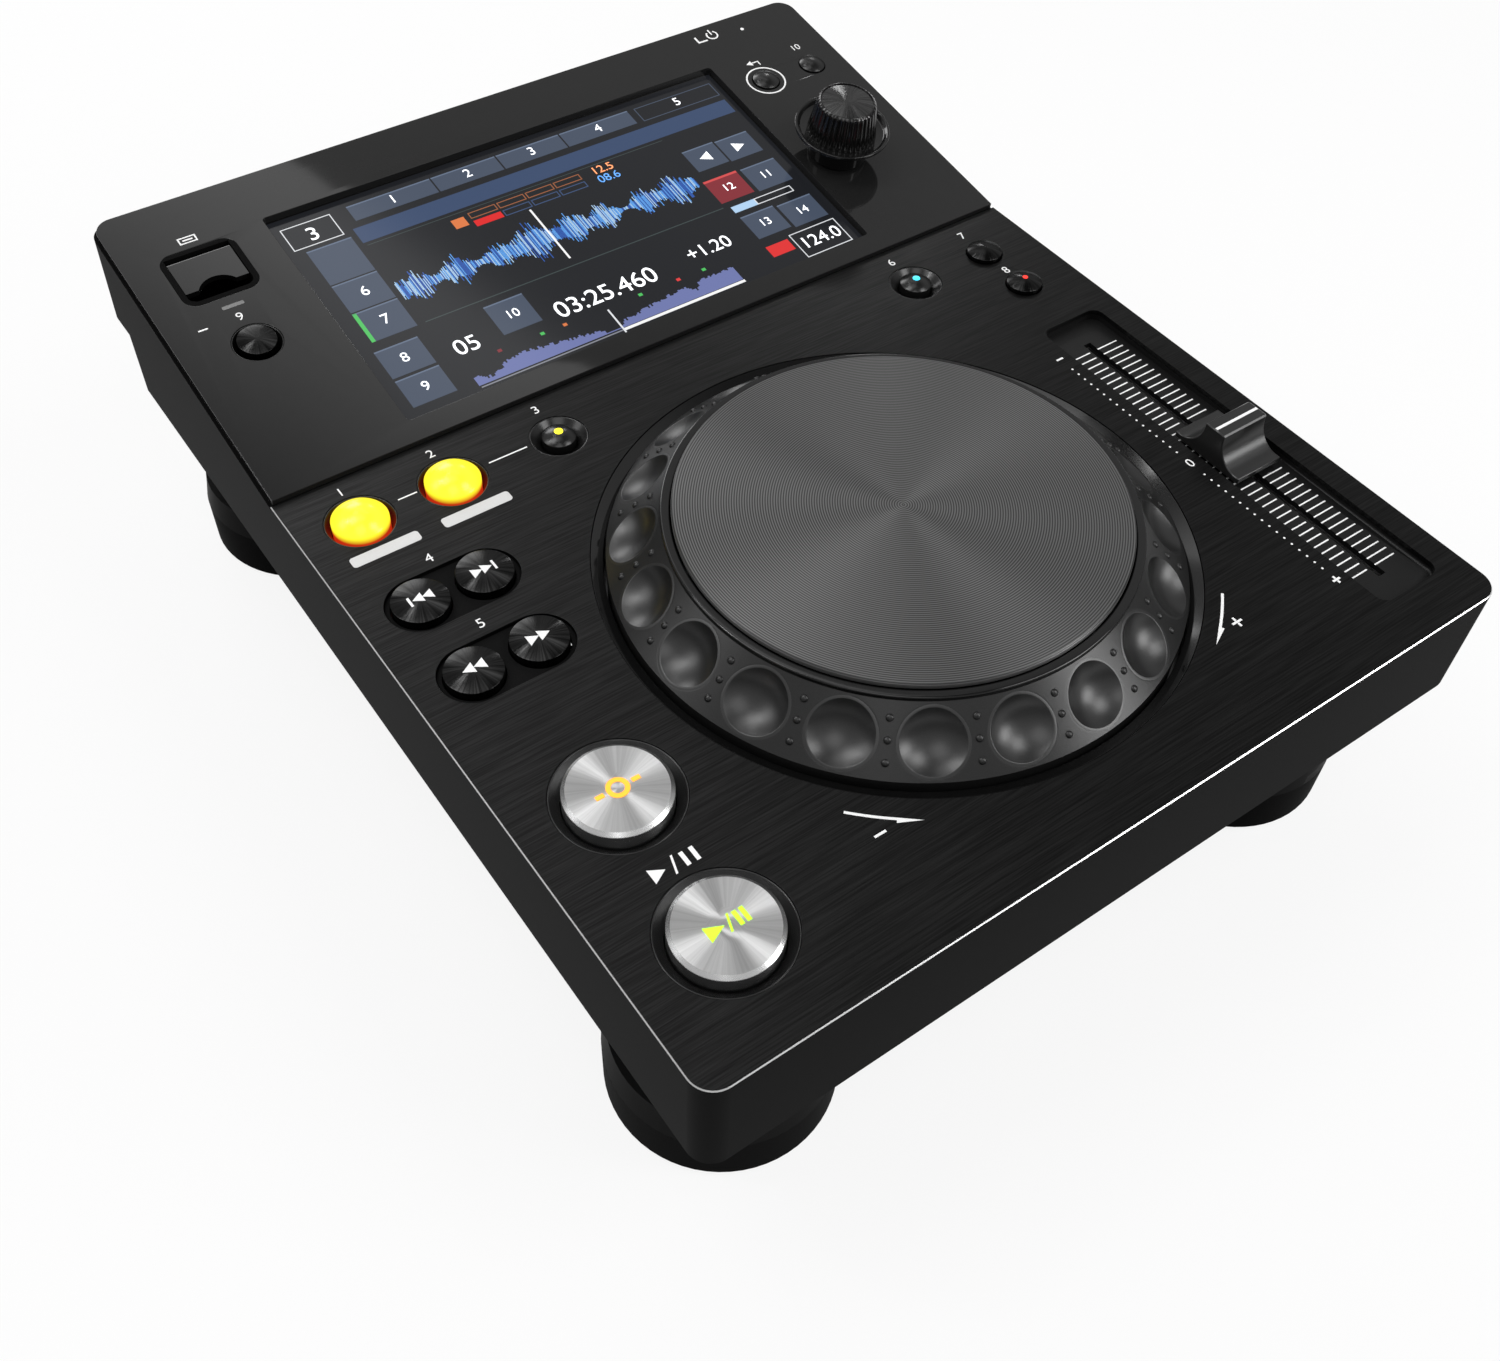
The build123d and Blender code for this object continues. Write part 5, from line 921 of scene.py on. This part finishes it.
# %% Button rings
ring_land, ring_sink, ring_dish, ring_foot, ring_fit = 0.00035, 0.00015, 0.0024, 0.0040, 0.00005
ring_round, ring_steps = 0.0002, 128


def ring_profile(inner, outer):
    """A dish that falls from a narrow flat land to the cap's edge."""
    points = [(inner, -ring_foot), (inner, -ring_dish), (outer - ring_land, -ring_sink),
              (outer - ring_fit, -ring_sink), (outer - ring_fit, -ring_foot)]
    return soften(points, ring_round)


for name, outer in {**ring_radii, "usb_stop_button": panel_rounds["usb_stop_button"]}.items():
    title = name.removesuffix("_button")
    cap_radius = domed_caps[title][0][0] if title in domed_caps else transport_radius
    made = turned_piece(title + "_ring", ring_profile(cap_radius + cap_gap, outer), *seat(name), button_black, "case",
                        ring_steps, mapped=False)
    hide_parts("button_rings")
trim_top, trim_thickness, trim_edge = -0.0010, 0.0025, 0.0001
for name, place in pair_rows.items():
    holes = [round_loop((place[0] + side * pair_half, place[1]), pair_dome[0] + cap_gap) for side in (-1, 1)]
    sheet(name + "_trim", [pill_loop(place, pair_half, pair_end - ring_fit)] + holes, deck_plane, trim_top,
          trim_thickness, cover_black, "case", trim_edge)
print("rings made")

# %% [markdown]
# The browse knob is one turned shape with flutes round its grip: the profile gives the radius at each height,
# and a smooth wave takes a little off it thirty-six times round.

# %% Browse knob
flutes, flute_depth = 36, 0.00042
grip_foot, grip_top, grip_reach, grip_fade = 0.0086, 0.0182, 0.0103, 0.0004
knob_profile = np.concatenate([
    soften([(0.0056, 0.0008), (0.0087, 0.0008), (0.0087, 0.0082), (0.0134, 0.0082), (0.0141, 0.0089),
            (0.0141, 0.0098), (0.0134, 0.0098), (0.0124, 0.0086), (0.0102, 0.0084)], 0.0003),
    np.column_stack([np.linspace(0.0102, 0.0087, 12), np.linspace(0.0085, 0.0178, 12)]),
    soften([(0.0086, 0.0180), (0.0079, 0.0186), (0.00766, 0.0186), (0.00766, 0.0180)], 0.0002)])


def fluted(profile, segments=720):
    """A turned profile whose grip loses a squared cosine's depth at each flute, fading out at both ends."""
    profile = shut(profile)
    angle = np.linspace(0.0, 2 * np.pi, segments, endpoint=False)
    radius, height = profile[:, :1], profile[:, 1:]
    on_grip = (np.clip((height - grip_foot) / grip_fade, 0, 1) * np.clip((grip_top - height) / grip_fade, 0, 1)
               * (radius < grip_reach))
    radius = radius - flute_depth * on_grip * (0.5 + 0.5 * np.cos(flutes * angle)) ** 2
    local = around((knob_x, knob_along), radius, angle, height)
    return on_plane(panel_plane, local), grid_faces(len(profile), segments)


points, faces = fluted(knob_profile)
knob = piece("browse_grip", points, faces, gloss_black, "browse_control")
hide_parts("browse_knob")
face_profile = [(0.0, 0.0190), (0.0030, 0.01885), (0.0062, 0.01852), (0.0076, 0.0183), (0.0076, 0.0179)]
# The knob's face takes the brighter spun finish, whose rays are partly painted sheen.
knob_disc = turned_piece("browse_disc", face_profile, panel_plane, (knob_x, knob_along), knob_painted_sheen, "browse_control")
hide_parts("browse_knob_disc")
print("knob rows", len(knob_profile))

# %% [markdown]
# The fader cap is a straight bar with two finger scoops, each a quarter of an ellipse. Its profile is pulled
# across the width, and a Bevel modifier takes the sharpness off its edges.

# %% Fader cap
cap_low, cap_high = (np.array(corner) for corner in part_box("fader_cap"))
cap_centre = np.array(button_place("fader_cap"))
cap_half, cap_reach = (cap_high[0] - cap_low[0]) / 2, (cap_high[1] - cap_low[1]) / 2
cap_foot, cap_top = cap_low[2] - deck_top, cap_high[2] - deck_top
ridge_half, ridge_drop, wing_height, wing_length, ridge_edge = 0.0032, 0.0012, 0.0016, 0.0014, 0.0004
bevel_width, bevel_steps, bevel_angle = 0.0003, 2, np.radians(45.0)
scoop = np.linspace(np.pi, 1.5 * np.pi, 25)
scoop_y = (cap_reach - wing_length) + (cap_reach - wing_length - ridge_half) * np.cos(scoop)
scoop_z = (cap_top - ridge_drop) + (cap_top - ridge_drop - cap_foot - wing_height) * np.sin(scoop)
half_profile = np.concatenate([[[ridge_half - ridge_edge, cap_top], [ridge_half, cap_top - ridge_edge]],
                               np.column_stack([scoop_y, scoop_z]),
                               [[cap_reach, cap_foot + wing_height], [cap_reach, cap_foot]]])
cap_profile = np.concatenate([half_profile, half_profile[::-1] * [-1, 1]])


def pulled(profile, half_width, centre):
    """A closed profile of (back, up) carried straight across, with its two ends filled."""
    ends = np.array([[-half_width], [half_width]])
    local = np.stack(np.broadcast_arrays(centre[0] + ends, centre[1] + profile[:, 0], profile[:, 1]), axis=-1)
    count = len(profile)
    faces = grid_faces(2, count).tolist() + [list(range(count)), list(range(2 * count - 1, count - 1, -1))]
    return local, faces


points, faces = pulled(cap_profile, cap_half, cap_centre)
slider = piece("fader_grip", on_plane(deck_plane, points), faces, cap_black, "tempo_fader")
edge_round = slider.modifiers.new("soft edges", "BEVEL")
edge_round.width, edge_round.segments = bevel_width, bevel_steps
edge_round.limit_method, edge_round.angle_limit = "ANGLE", bevel_angle
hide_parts("fader_cap")
smooth_copy("touch_panel", glass_black)
print("fader cap profile", len(cap_profile))

# %% [markdown]
# The printed marks are flat fills again, a few hundredths of a millimetre thick. The labels are plain numbers, and
# the usual play, skip and search signs are drawn from triangles and bars.

# %% Print tools
ink = 0.00006
print_white = finish("white print", grain, 0.86, 0.92, 0.0, 0.5)
print_pale = finish("pale label", grain, 0.62, 0.68, 0.0, 0.5)


def mm(*values):
    """Millimetres as metres, as an array."""
    return np.array(values, dtype=float) / per_metre


def outline(*values):
    """A polygon given in millimetres across and back, corner by corner."""
    return mm(*values).reshape(-1, 2)


def bar(left, low, right, high):
    """A plain rectangle given in millimetres."""
    return outline(left, low, right, low, right, high, left, high)


def triangle(tip_x, base_x, y, half):
    """A triangle that points along the first axis, in millimetres."""
    return outline(tip_x, y, base_x, y + half, base_x, y - half)


def arc_band(centre, inner, outer, first, last, steps=40):
    """A band between two arcs about one centre."""
    angle = np.linspace(first, last, steps)
    return np.concatenate([arc(centre, outer, angle), arc(centre, inner, angle[::-1])])


def figure(text, size, place):
    """Plain figures as points and faces: built-in type of a height in millimetres, centred at a place."""
    data = bpy.data.curves.new("figure", "FONT")
    data.body, data.size = text, size
    data.align_x = data.align_y = "CENTER"
    data.extrude = ink / 2 * per_metre
    points, faces = mesh_of(data)
    bpy.data.curves.remove(data)
    return points + np.array([*mm(*place), 0.0]), faces


def joined(parts):
    """Several (points, faces) pairs as one: later faces count on from the earlier points."""
    starts = np.cumsum([0] + [len(points) for points, faces in parts])
    faces = [[int(start) + corner for corner in face] for start, (points, some) in zip(starts, parts) for face in some]
    return np.concatenate([points for points, faces in parts]), faces


def printed(name, parts, plane, material, body, height):
    """Flat parts laid on a plane; the height is a number or a function of the flat points."""
    points, faces = joined(parts)
    lift = height(points[:, :2]) + ink if callable(height) else height
    points[:, 2] += lift + ink / 4
    return piece(name, on_plane(plane, points), faces, material, body)


print("print tools ready")

# %% Deck prints
tick_rows = np.linspace(23.8, 121.3, 41)
tick_columns, tick_half, tick_height = ((89.2, 95.3), (98.2, 105.2)), 0.2, -0.003
ticks = [bar(left, row - tick_half, right, row + tick_half) for left, right in tick_columns for row in tick_rows]
printed("fader_ticks", [filled(ticks, ink)], deck_plane, print_white, "case", tick_height)

dot_x, dot_size = 83.5, 0.3
dotted_rows = np.concatenate([tick_rows[2:19], tick_rows[22:39]])
marks = [round_loop(mm(dot_x, row), dot_size / per_metre, 12) for row in dotted_rows]
marks += [bar(82.4, 121.1, 84.6, 121.7), bar(82.3, 24.0, 84.7, 24.6), bar(83.2, 24.7, 83.8, 25.5),
          bar(83.2, 23.1, 83.8, 23.9)]
arrow_half, arrow_barb, arrow_head = 0.00033, 0.0010, 0.34


def turn_arrow(radius, tail, tip, steps=24):
    """A half arrow along an arc: two arcs a line's width apart, a barb on the outer side and a tip."""
    neck = tip + (tail - tip) * arrow_head
    angle = np.concatenate([np.linspace(tail, neck, steps), [neck, tip], np.linspace(neck, tail, steps)])
    line = np.ones(steps) * arrow_half
    reach = radius + np.concatenate([line, [arrow_barb, 0.0], -line])
    return arc(jog_centre, reach, angle)


marks += [turn_arrow(radius, np.radians(tail), np.radians(tip))
          for radius, tail, tip in ((0.0784, 223.1, 235.4), (0.0770, 315.4, 303.0))]
marks += [bar(-53.4, 28.0, -50.4, 28.6), bar(52.0, 27.8, 55.0, 28.4), bar(53.2, 28.5, 53.8, 29.6),
          bar(53.2, 26.6, 53.8, 27.7), bar(-88.5, 169.9, -83.4, 170.3), bar(-63.8, 169.3, -53.0, 169.7)]
marks += [triangle(-93.2, -96.6, 45.9, 1.9), bar(-89.0, 44.1, -88.0, 47.7), bar(-86.6, 44.1, -85.6, 47.7),
          outline(-92.0, 43.7, -91.5, 43.7, -90.2, 48.1, -90.7, 48.1)]
numbers = {"1": (-98.9, 180.0), "2": (-74.3, 180.2), "3": (-44.2, 180.2), "4": (-91.5, 148.7), "5": (-91.5, 124.2),
           "6": (72.1, 179.6), "7": (97.5, 178.6), "8": (97.5, 159.2), "0": (83.5, 72.6)}
number_size = 4.0
figures = [figure(text, number_size, place) for text, place in numbers.items()]
printed("deck_marks", [filled([loop], ink) for loop in marks] + figures, deck_plane, print_white, "case", 0.0)
label_low, label_high, label_corner = 155.2, 158.6, 0.0009
labels = [box_loop(mm(left, label_low), mm(right, label_high), [label_corner] * 4)
          for left, right in ((-107.4, -89.6), (-83.4, -65.0))]
printed("label_bars", [filled(labels, ink)], deck_plane, print_pale, "case", 0.0)
print("deck marks", len(marks), "ticks", len(ticks))

# %% [markdown]
# The signs on the buttons follow the caps' domes, so each is laid on the ball that its cap is part of. They ride
# on the buttons, and go down with them.

# %% Signs on the buttons


def on_dome(centre, shape):
    """A function that gives the height of a domed cap over flat points."""
    radius, rise, dome = shape[:3]
    ball = ball_radius(radius, dome)
    return lambda flat: rise - ball + np.sqrt(ball ** 2 - np.sum((flat - np.array(centre)) ** 2, axis=1))


def glow_finish(name, red_part, green_part, blue_part):
    """A small lamp or lit sign: one even colour that gives light."""
    colour = (red_part, green_part, blue_part, 1.0)
    return shaded(name, {"Base Color": colour, "Roughness": 0.3, "Emission Color": colour,
                         "Emission Strength": 1.0})[0]


def sign(offsets, place):
    """Loops given about a button's middle, moved to its place and filled."""
    return joined([filled([loop + np.array(place)], ink) for loop in offsets])


ring_gap = 0.01
signs = {
    "track_back": [triangle(-1.9, 0.7, 0.0, 1.5), triangle(0.6, 3.2, 0.0, 1.5), bar(-2.8, -1.5, -2.2, 1.5)],
    "track_forward": [triangle(1.9, -0.7, 0.0, 1.5), triangle(-0.6, -3.2, 0.0, 1.5), bar(2.2, -1.5, 2.8, 1.5)],
    "search_back": [triangle(-2.7, 0.1, 0.0, 1.6), triangle(0.1, 2.9, 0.0, 1.6)],
    "search_forward": [triangle(2.7, -0.1, 0.0, 1.6), triangle(-0.1, -2.9, 0.0, 1.6)],
    "play": [triangle(-0.5, -4.6, 0.0, 1.9), bar(2.2, -1.8, 3.2, 1.8), bar(3.9, -1.8, 4.9, 1.8),
             outline(-0.2, -2.0, 0.3, -2.0, 1.6, 2.0, 1.1, 2.0)],
    "cue": [arc_band((0.0, 0.0), 0.0015, 0.0026, 0.0, 2 * np.pi - ring_gap, 64), bar(-5.4, -0.55, -3.4, 0.55),
            bar(3.4, -0.55, 5.4, 0.55)],
}
transport_dome = (transport_radius, 0.0026, 0.00022)
sign_looks = {"play": (glow_finish("lit green", 0.42, 0.85, 0.02), transport_dome),
              "cue": (glow_finish("lit orange", 1.0, 0.36, 0.02), transport_dome)}
for name, loops in signs.items():
    place = button_place(name + "_button")
    material, dome = sign_looks.get(name, (print_white, pair_dome))
    printed(name + "_sign", [sign(loops, place)], deck_plane, material, name + "_button_body", on_dome(place, dome))
print("signs", len(signs))

# %% Lamps and panel prints
lamp_depth, lamp_corner, line_reach = 0.0004, 0.0004, 0.0004
lamp_spots = {"reloop": (0.00115, glow_finish("lit yellow", 1.0, 0.85, 0.02)),
              "vinyl_mode": (0.00105, glow_finish("lit cyan", 0.05, 0.65, 0.9)),
              "key_lock": (0.00075, glow_finish("lit red", 0.9, 0.03, 0.02))}
for name, (spot, material) in lamp_spots.items():
    place = button_place(name + "_button")
    points, faces = turned([(0.0, 0.0), (spot / 2, 0.0), (spot, 0.0), (spot, -lamp_depth)], deck_plane, place, 24)
    flat = (points - deck_plane[0]).reshape(-1, 3)
    flat[:, 2] += on_dome(place, domed_caps[name][0])(flat[:, :2]) + ink
    piece(name + "_lamp", deck_plane[0] + flat, faces, material, name + "_button_body")

back_place, power_place = panel_place("back_button"), mm(82.5, 101.4)
panel_marks = [round_loop(back_place, 0.0062, 64), round_loop(back_place, 0.0057, 64),
               arc_band(power_place, 0.0015, 0.0020, np.radians(-235.0), np.radians(55.0)),
               bar(82.25, 101.6, 82.75, 104.0)]
panel_marks += [outline(76.4, 99.6, 79.9, 99.6, 79.9, 100.2, 77.0, 100.2, 77.0, 102.6, 76.4, 102.6),
                round_loop(mm(92.9, 99.8), 0.0006, 20),
                outline(84.0, 84.6, 86.0, 83.5, 86.0, 84.4, 88.0, 84.4, 88.0, 82.9, 88.4, 82.9, 88.4, 84.8, 86.0, 84.8,
                        86.0, 85.7)]
panel_marks += [bar(-97.0, 88.9, -92.0, 91.4), bar(-96.6, 89.3, -92.4, 91.0), bar(-95.9, 89.9, -93.1, 90.4),
                bar(-106.0, 58.1, -103.4, 58.6)]
panel_figures = [figure("9", number_size, (-94.6, 58.4)), figure("10", 3.4, (103.0, 84.9))]
printed("panel_marks", [filled(panel_marks, ink)] + panel_figures, panel_plane, print_white, "case", 0.0)
lamp_bar = box_loop(mm(-97.4, 62.3), mm(-91.4, 63.5), [lamp_corner] * 4)
lamp_grey = finish("unlit lamp", grain, 0.16, 0.20, 0.0, 0.3)
printed("panel_lamps", [filled([lamp_bar], ink)], panel_plane, lamp_grey, "case", 0.0)
line_half = np.array([cap_half - ridge_edge, line_reach])
line_loop = cap_centre + line_half * np.array([(-1, -1), (1, -1), (1, 1), (-1, 1)])
printed("fader_line", [filled([line_loop], ink)], deck_plane, print_white, "tempo_fader", cap_top + ink)
print("panel marks", len(panel_marks))

# %% [markdown]
# The screen shows a made-up page in the usual layout: tabs, a blue title bar, a scrolling waveform, an overview
# and some figures. Each block is a rectangle with its own colour, and all of them are one mesh: the corners come
# from one array, and a colour attribute carries the light that each block gives.

# %% Page blocks
slate, title_blue, page_back = (0.062, 0.082, 0.125), (0.040, 0.070, 0.150), (0.010, 0.011, 0.014)
white, green, orange, lilac = (0.8, 0.82, 0.85), (0.08, 0.55, 0.12), (0.75, 0.2, 0.06), (0.16, 0.19, 0.42)
dark_red, lamp_red, key_red, beat_red = (0.24, 0.025, 0.035), (0.75, 0.03, 0.03), (0.7, 0.08, 0.08), (0.75, 0.02, 0.02)
sky, deep, pale_blue = (0.12, 0.38, 0.88), (0.03, 0.11, 0.45), (0.45, 0.66, 0.90)
brown, navy, rule, key_light = (0.35, 0.12, 0.05), (0.05, 0.09, 0.2), (0.05, 0.07, 0.07), (0.13, 0.17, 0.25)
keys = [(-51.3, 78.9, -25.6, 85.0), (-25.1, 78.9, -4.6, 85.0), (-4.1, 78.9, 16.6, 85.0), (17.1, 78.9, 40.6, 85.0),
        (-68.6, 59.9, -55.4, 74.0), (-68.6, 48.4, -55.4, 59.4), (-68.6, 36.6, -55.4, 47.9),
        (-70.0, 22.8, -57.4, 33.2), (-70.0, 11.8, -57.4, 21.8), (-37.2, 22.9, -25.4, 34.2),
        (45.2, 52.6, 56.0, 62.0), (56.6, 52.2, 68.0, 61.6), (56.6, 37.8, 68.6, 48.0), (45.0, 21.4, 56.4, 31.2),
        (57.4, 20.6, 69.2, 30.4)]
key_edge = 0.45


def frame_blocks(left, low, right, high, colour, width=0.3):
    """Four thin bars round a rectangle, as blocks of one colour."""
    sides = [(left, low, right, low + width), (left, high - width, right, high), (left, low, left + width, high),
             (right - width, low, right, high)]
    return [(*side, colour, 1) for side in sides]


# Each block: left, low, right and high in millimetres, its colour and its layer.
blocks = [(-73.6, 7.4, 72.6, 88.3, page_back, 0), (-53.6, 70.3, 70.4, 76.4, title_blue, 1)]
blocks += [(*key, slate, 1) for key in keys]
blocks += [(left, high - key_edge, right, high, key_light, 2) for left, low, right, high in keys]
blocks += frame_blocks(-71.2, 75.6, -56.4, 84.6, white) + frame_blocks(42.9, 78.7, 70.4, 84.8, slate)
blocks += [(-68.6, 36.6, -67.5, 47.9, green, 2), (43.6, 38.4, 55.2, 48.4, dark_red, 1),
           (43.6, 47.6, 55.2, 48.4, key_red, 2), (45.0, 33.4, 53.0, 36.0, pale_blue, 1)]
blocks += frame_blocks(53.0, 33.4, 66.0, 36.0, white) + frame_blocks(53.4, 8.8, 69.4, 18.8, white)
blocks += [(44.6, 13.4, 52.2, 17.8, lamp_red, 1)]
box_left, box_width = -23.0 + 9.2 * np.arange(4), 8.6
for low, high, colour in ((65.4, 67.8, brown), (62.0, 64.4, navy)):
    blocks += [block for left in box_left for block in frame_blocks(left, low, left + box_width, high, colour)]
blocks += [(-23.0, 62.0, -14.4, 64.4, beat_red, 2), (-28.6, 63.6, -24.6, 67.2, orange, 1),
           (-53.0, 36.6, 43.0, 36.9, rule, 1), (-53.0, 69.0, 43.0, 69.2, rule, 1)]
print("plain blocks", len(blocks))

# %% Waveform and overview
wave_x = np.linspace(-53.5, 42.0, 300)
wave_mid, wave_half, wave_height, least = 49.5, 0.13, 8.4, 0.06
swell = 0.45 + 0.3 * np.sin(wave_x * 0.21 + 1.0) * np.sin(wave_x * 0.083) + 0.25 * np.cos(wave_x * 0.53)
jitter = np.random.default_rng(7).uniform(0.15, 1.0, (4, len(wave_x)))
wave_up, wave_down = wave_height * np.clip(swell * jitter[:2] + 0.1, least, 1)
choice = jitter[2][:, None]
wave_colour = np.where(choice > 0.72, pale_blue, np.where(choice > 0.40, sky, deep))
blocks += [(x - wave_half, wave_mid - down, x + wave_half, wave_mid + up, tuple(colour), 1)
           for x, up, down, colour in zip(wave_x, wave_up, wave_down, wave_colour)]
blocks += [(-7.0, 39.6, -6.4, 61.2, (1.0, 1.0, 1.0), 2)]
map_x = np.linspace(-51.5, 31.5, 150)
map_foot, map_half, map_height = 10.4, 0.29, 5.6
map_level = 0.55 + 0.3 * np.sin(map_x * 0.09 - 0.6) + 0.25 * jitter[3][:len(map_x)]
for depth, place, spread in ((0.9, -10.0, 6), (0.7, -47.0, 30), (0.5, 18.0, 3)):
    map_level -= depth * np.exp(-(map_x - place) ** 2 / spread)
map_up = map_height * np.clip(map_level, least, 1)
blocks += [(x - map_half, map_foot, x + map_half, map_foot + up, lilac, 1) for x, up in zip(map_x, map_up)]
blocks += [(-51.5, 9.5, -8.0, 9.9, (0.25, 0.26, 0.3), 1), (-8.0, 9.3, 32.0, 10.2, (0.95, 0.95, 0.95), 1),
           (-8.2, 8.6, -7.7, 18.0, white, 2)]
marker_x = (-41.0, -28.0, -21.0, 3.0, 15.5, 24.0)
marker_tint = (dark_red, green, orange, green, (0.8, 0.05, 0.05), green)
for places, half, low, high in ((marker_x, 0.6, 18.2, 19.2), (marker_x[::-1], 0.5, 7.9, 8.6)):
    blocks += [(x - half, low, x + half, high, tint, 1) for x, tint in zip(places, marker_tint)]
print("blocks with the waveform", len(blocks))

# %% Screen page
layer_step, figure_lift = 0.00002, 0.00008
corners = np.array([block[:4] for block in blocks])[:, [0, 1, 2, 1, 2, 3, 0, 3]].reshape(-1, 4, 2) / per_metre
layer = np.array([block[5] for block in blocks], dtype=float)[:, None, None]
glass_top = -panel_thickness
block_top = glass_top + layer_step + layer_step * layer + 0 * corners[..., :1]
page_points = np.concatenate([np.concatenate([corners, block_top], axis=-1),
                              np.concatenate([corners, glass_top + 0 * block_top], axis=-1)], axis=1)
box_faces = np.array([(0, 1, 2, 3), (7, 6, 5, 4), (0, 4, 5, 1), (1, 5, 6, 2), (2, 6, 7, 3), (3, 7, 4, 0)])
page_faces = (box_faces + 8 * np.arange(len(blocks))[:, None, None]).reshape(-1, 4)
glow_page, tree, shader = shaded("screen page", {"Base Color": grey(0.004), "Roughness": 0.12,
                                                 "Specular IOR Level": 0.28, "Emission Strength": 1.0})
tint_node = add_node(tree, "Attribute", attribute_name="glow")
join(tree, (tint_node, "Color", shader, "Emission Color"))
page = piece("screen_page", on_plane(panel_plane, page_points), page_faces, glow_page, "case", merge=False)
tints = np.array([(*block[4], 1.0) for block in blocks], dtype=np.float32).repeat(8, axis=0)
page.data.color_attributes.new("glow", "FLOAT_COLOR", "POINT").data.foreach_set("color", tints.ravel())
print("screen points", page_points.shape)

# %% Screen figures
screen_numbers = [
    ("3", 7.0, (-63.8, 79.4)), ("05", 7.5, (-47.6, 24.2)), ("03:25.460", 8.2, (-4.8, 23.6)),
    ("+1.20", 6.4, (30.0, 25.0)), ("124.0", 6.2, (61.4, 13.8)), ("1", 4.6, (-38.4, 82.0)), ("2", 4.6, (-14.8, 82.0)),
    ("3", 4.6, (6.2, 82.0)), ("4", 4.6, (28.8, 82.0)), ("5", 4.6, (56.6, 81.8)), ("6", 5.0, (-61.6, 54.0)),
    ("7", 5.0, (-61.6, 42.4)), ("8", 4.6, (-63.7, 28.0)), ("9", 4.6, (-63.7, 16.8)), ("10", 4.2, (-31.3, 28.6)),
    ("11", 4.0, (62.6, 43.0)), ("12", 4.0, (49.4, 43.4)), ("13", 4.0, (50.7, 26.4)), ("14", 4.0, (63.3, 25.6))]
screen_signs = [triangle(48.6, 52.2, 57.3, 1.9), triangle(64.2, 60.6, 56.9, 1.9)]
screen_prints = {
    "screen_figures": ([filled(screen_signs, ink)] + [figure(*row) for row in screen_numbers],
                       glow_finish("screen white", *white)),
    "screen_orange": ([figure("12.5", 4.2, (20.6, 66.6))], glow_finish("screen orange", 0.75, 0.25, 0.1)),
    "screen_blue": ([figure("08.6", 4.2, (20.6, 62.8))], glow_finish("screen blue", 0.08, 0.25, 0.6))}
for name, (parts, material) in screen_prints.items():
    printed(name, parts, panel_plane, material, "case", glass_top + figure_lift)
print("screen figures", len(screen_numbers))
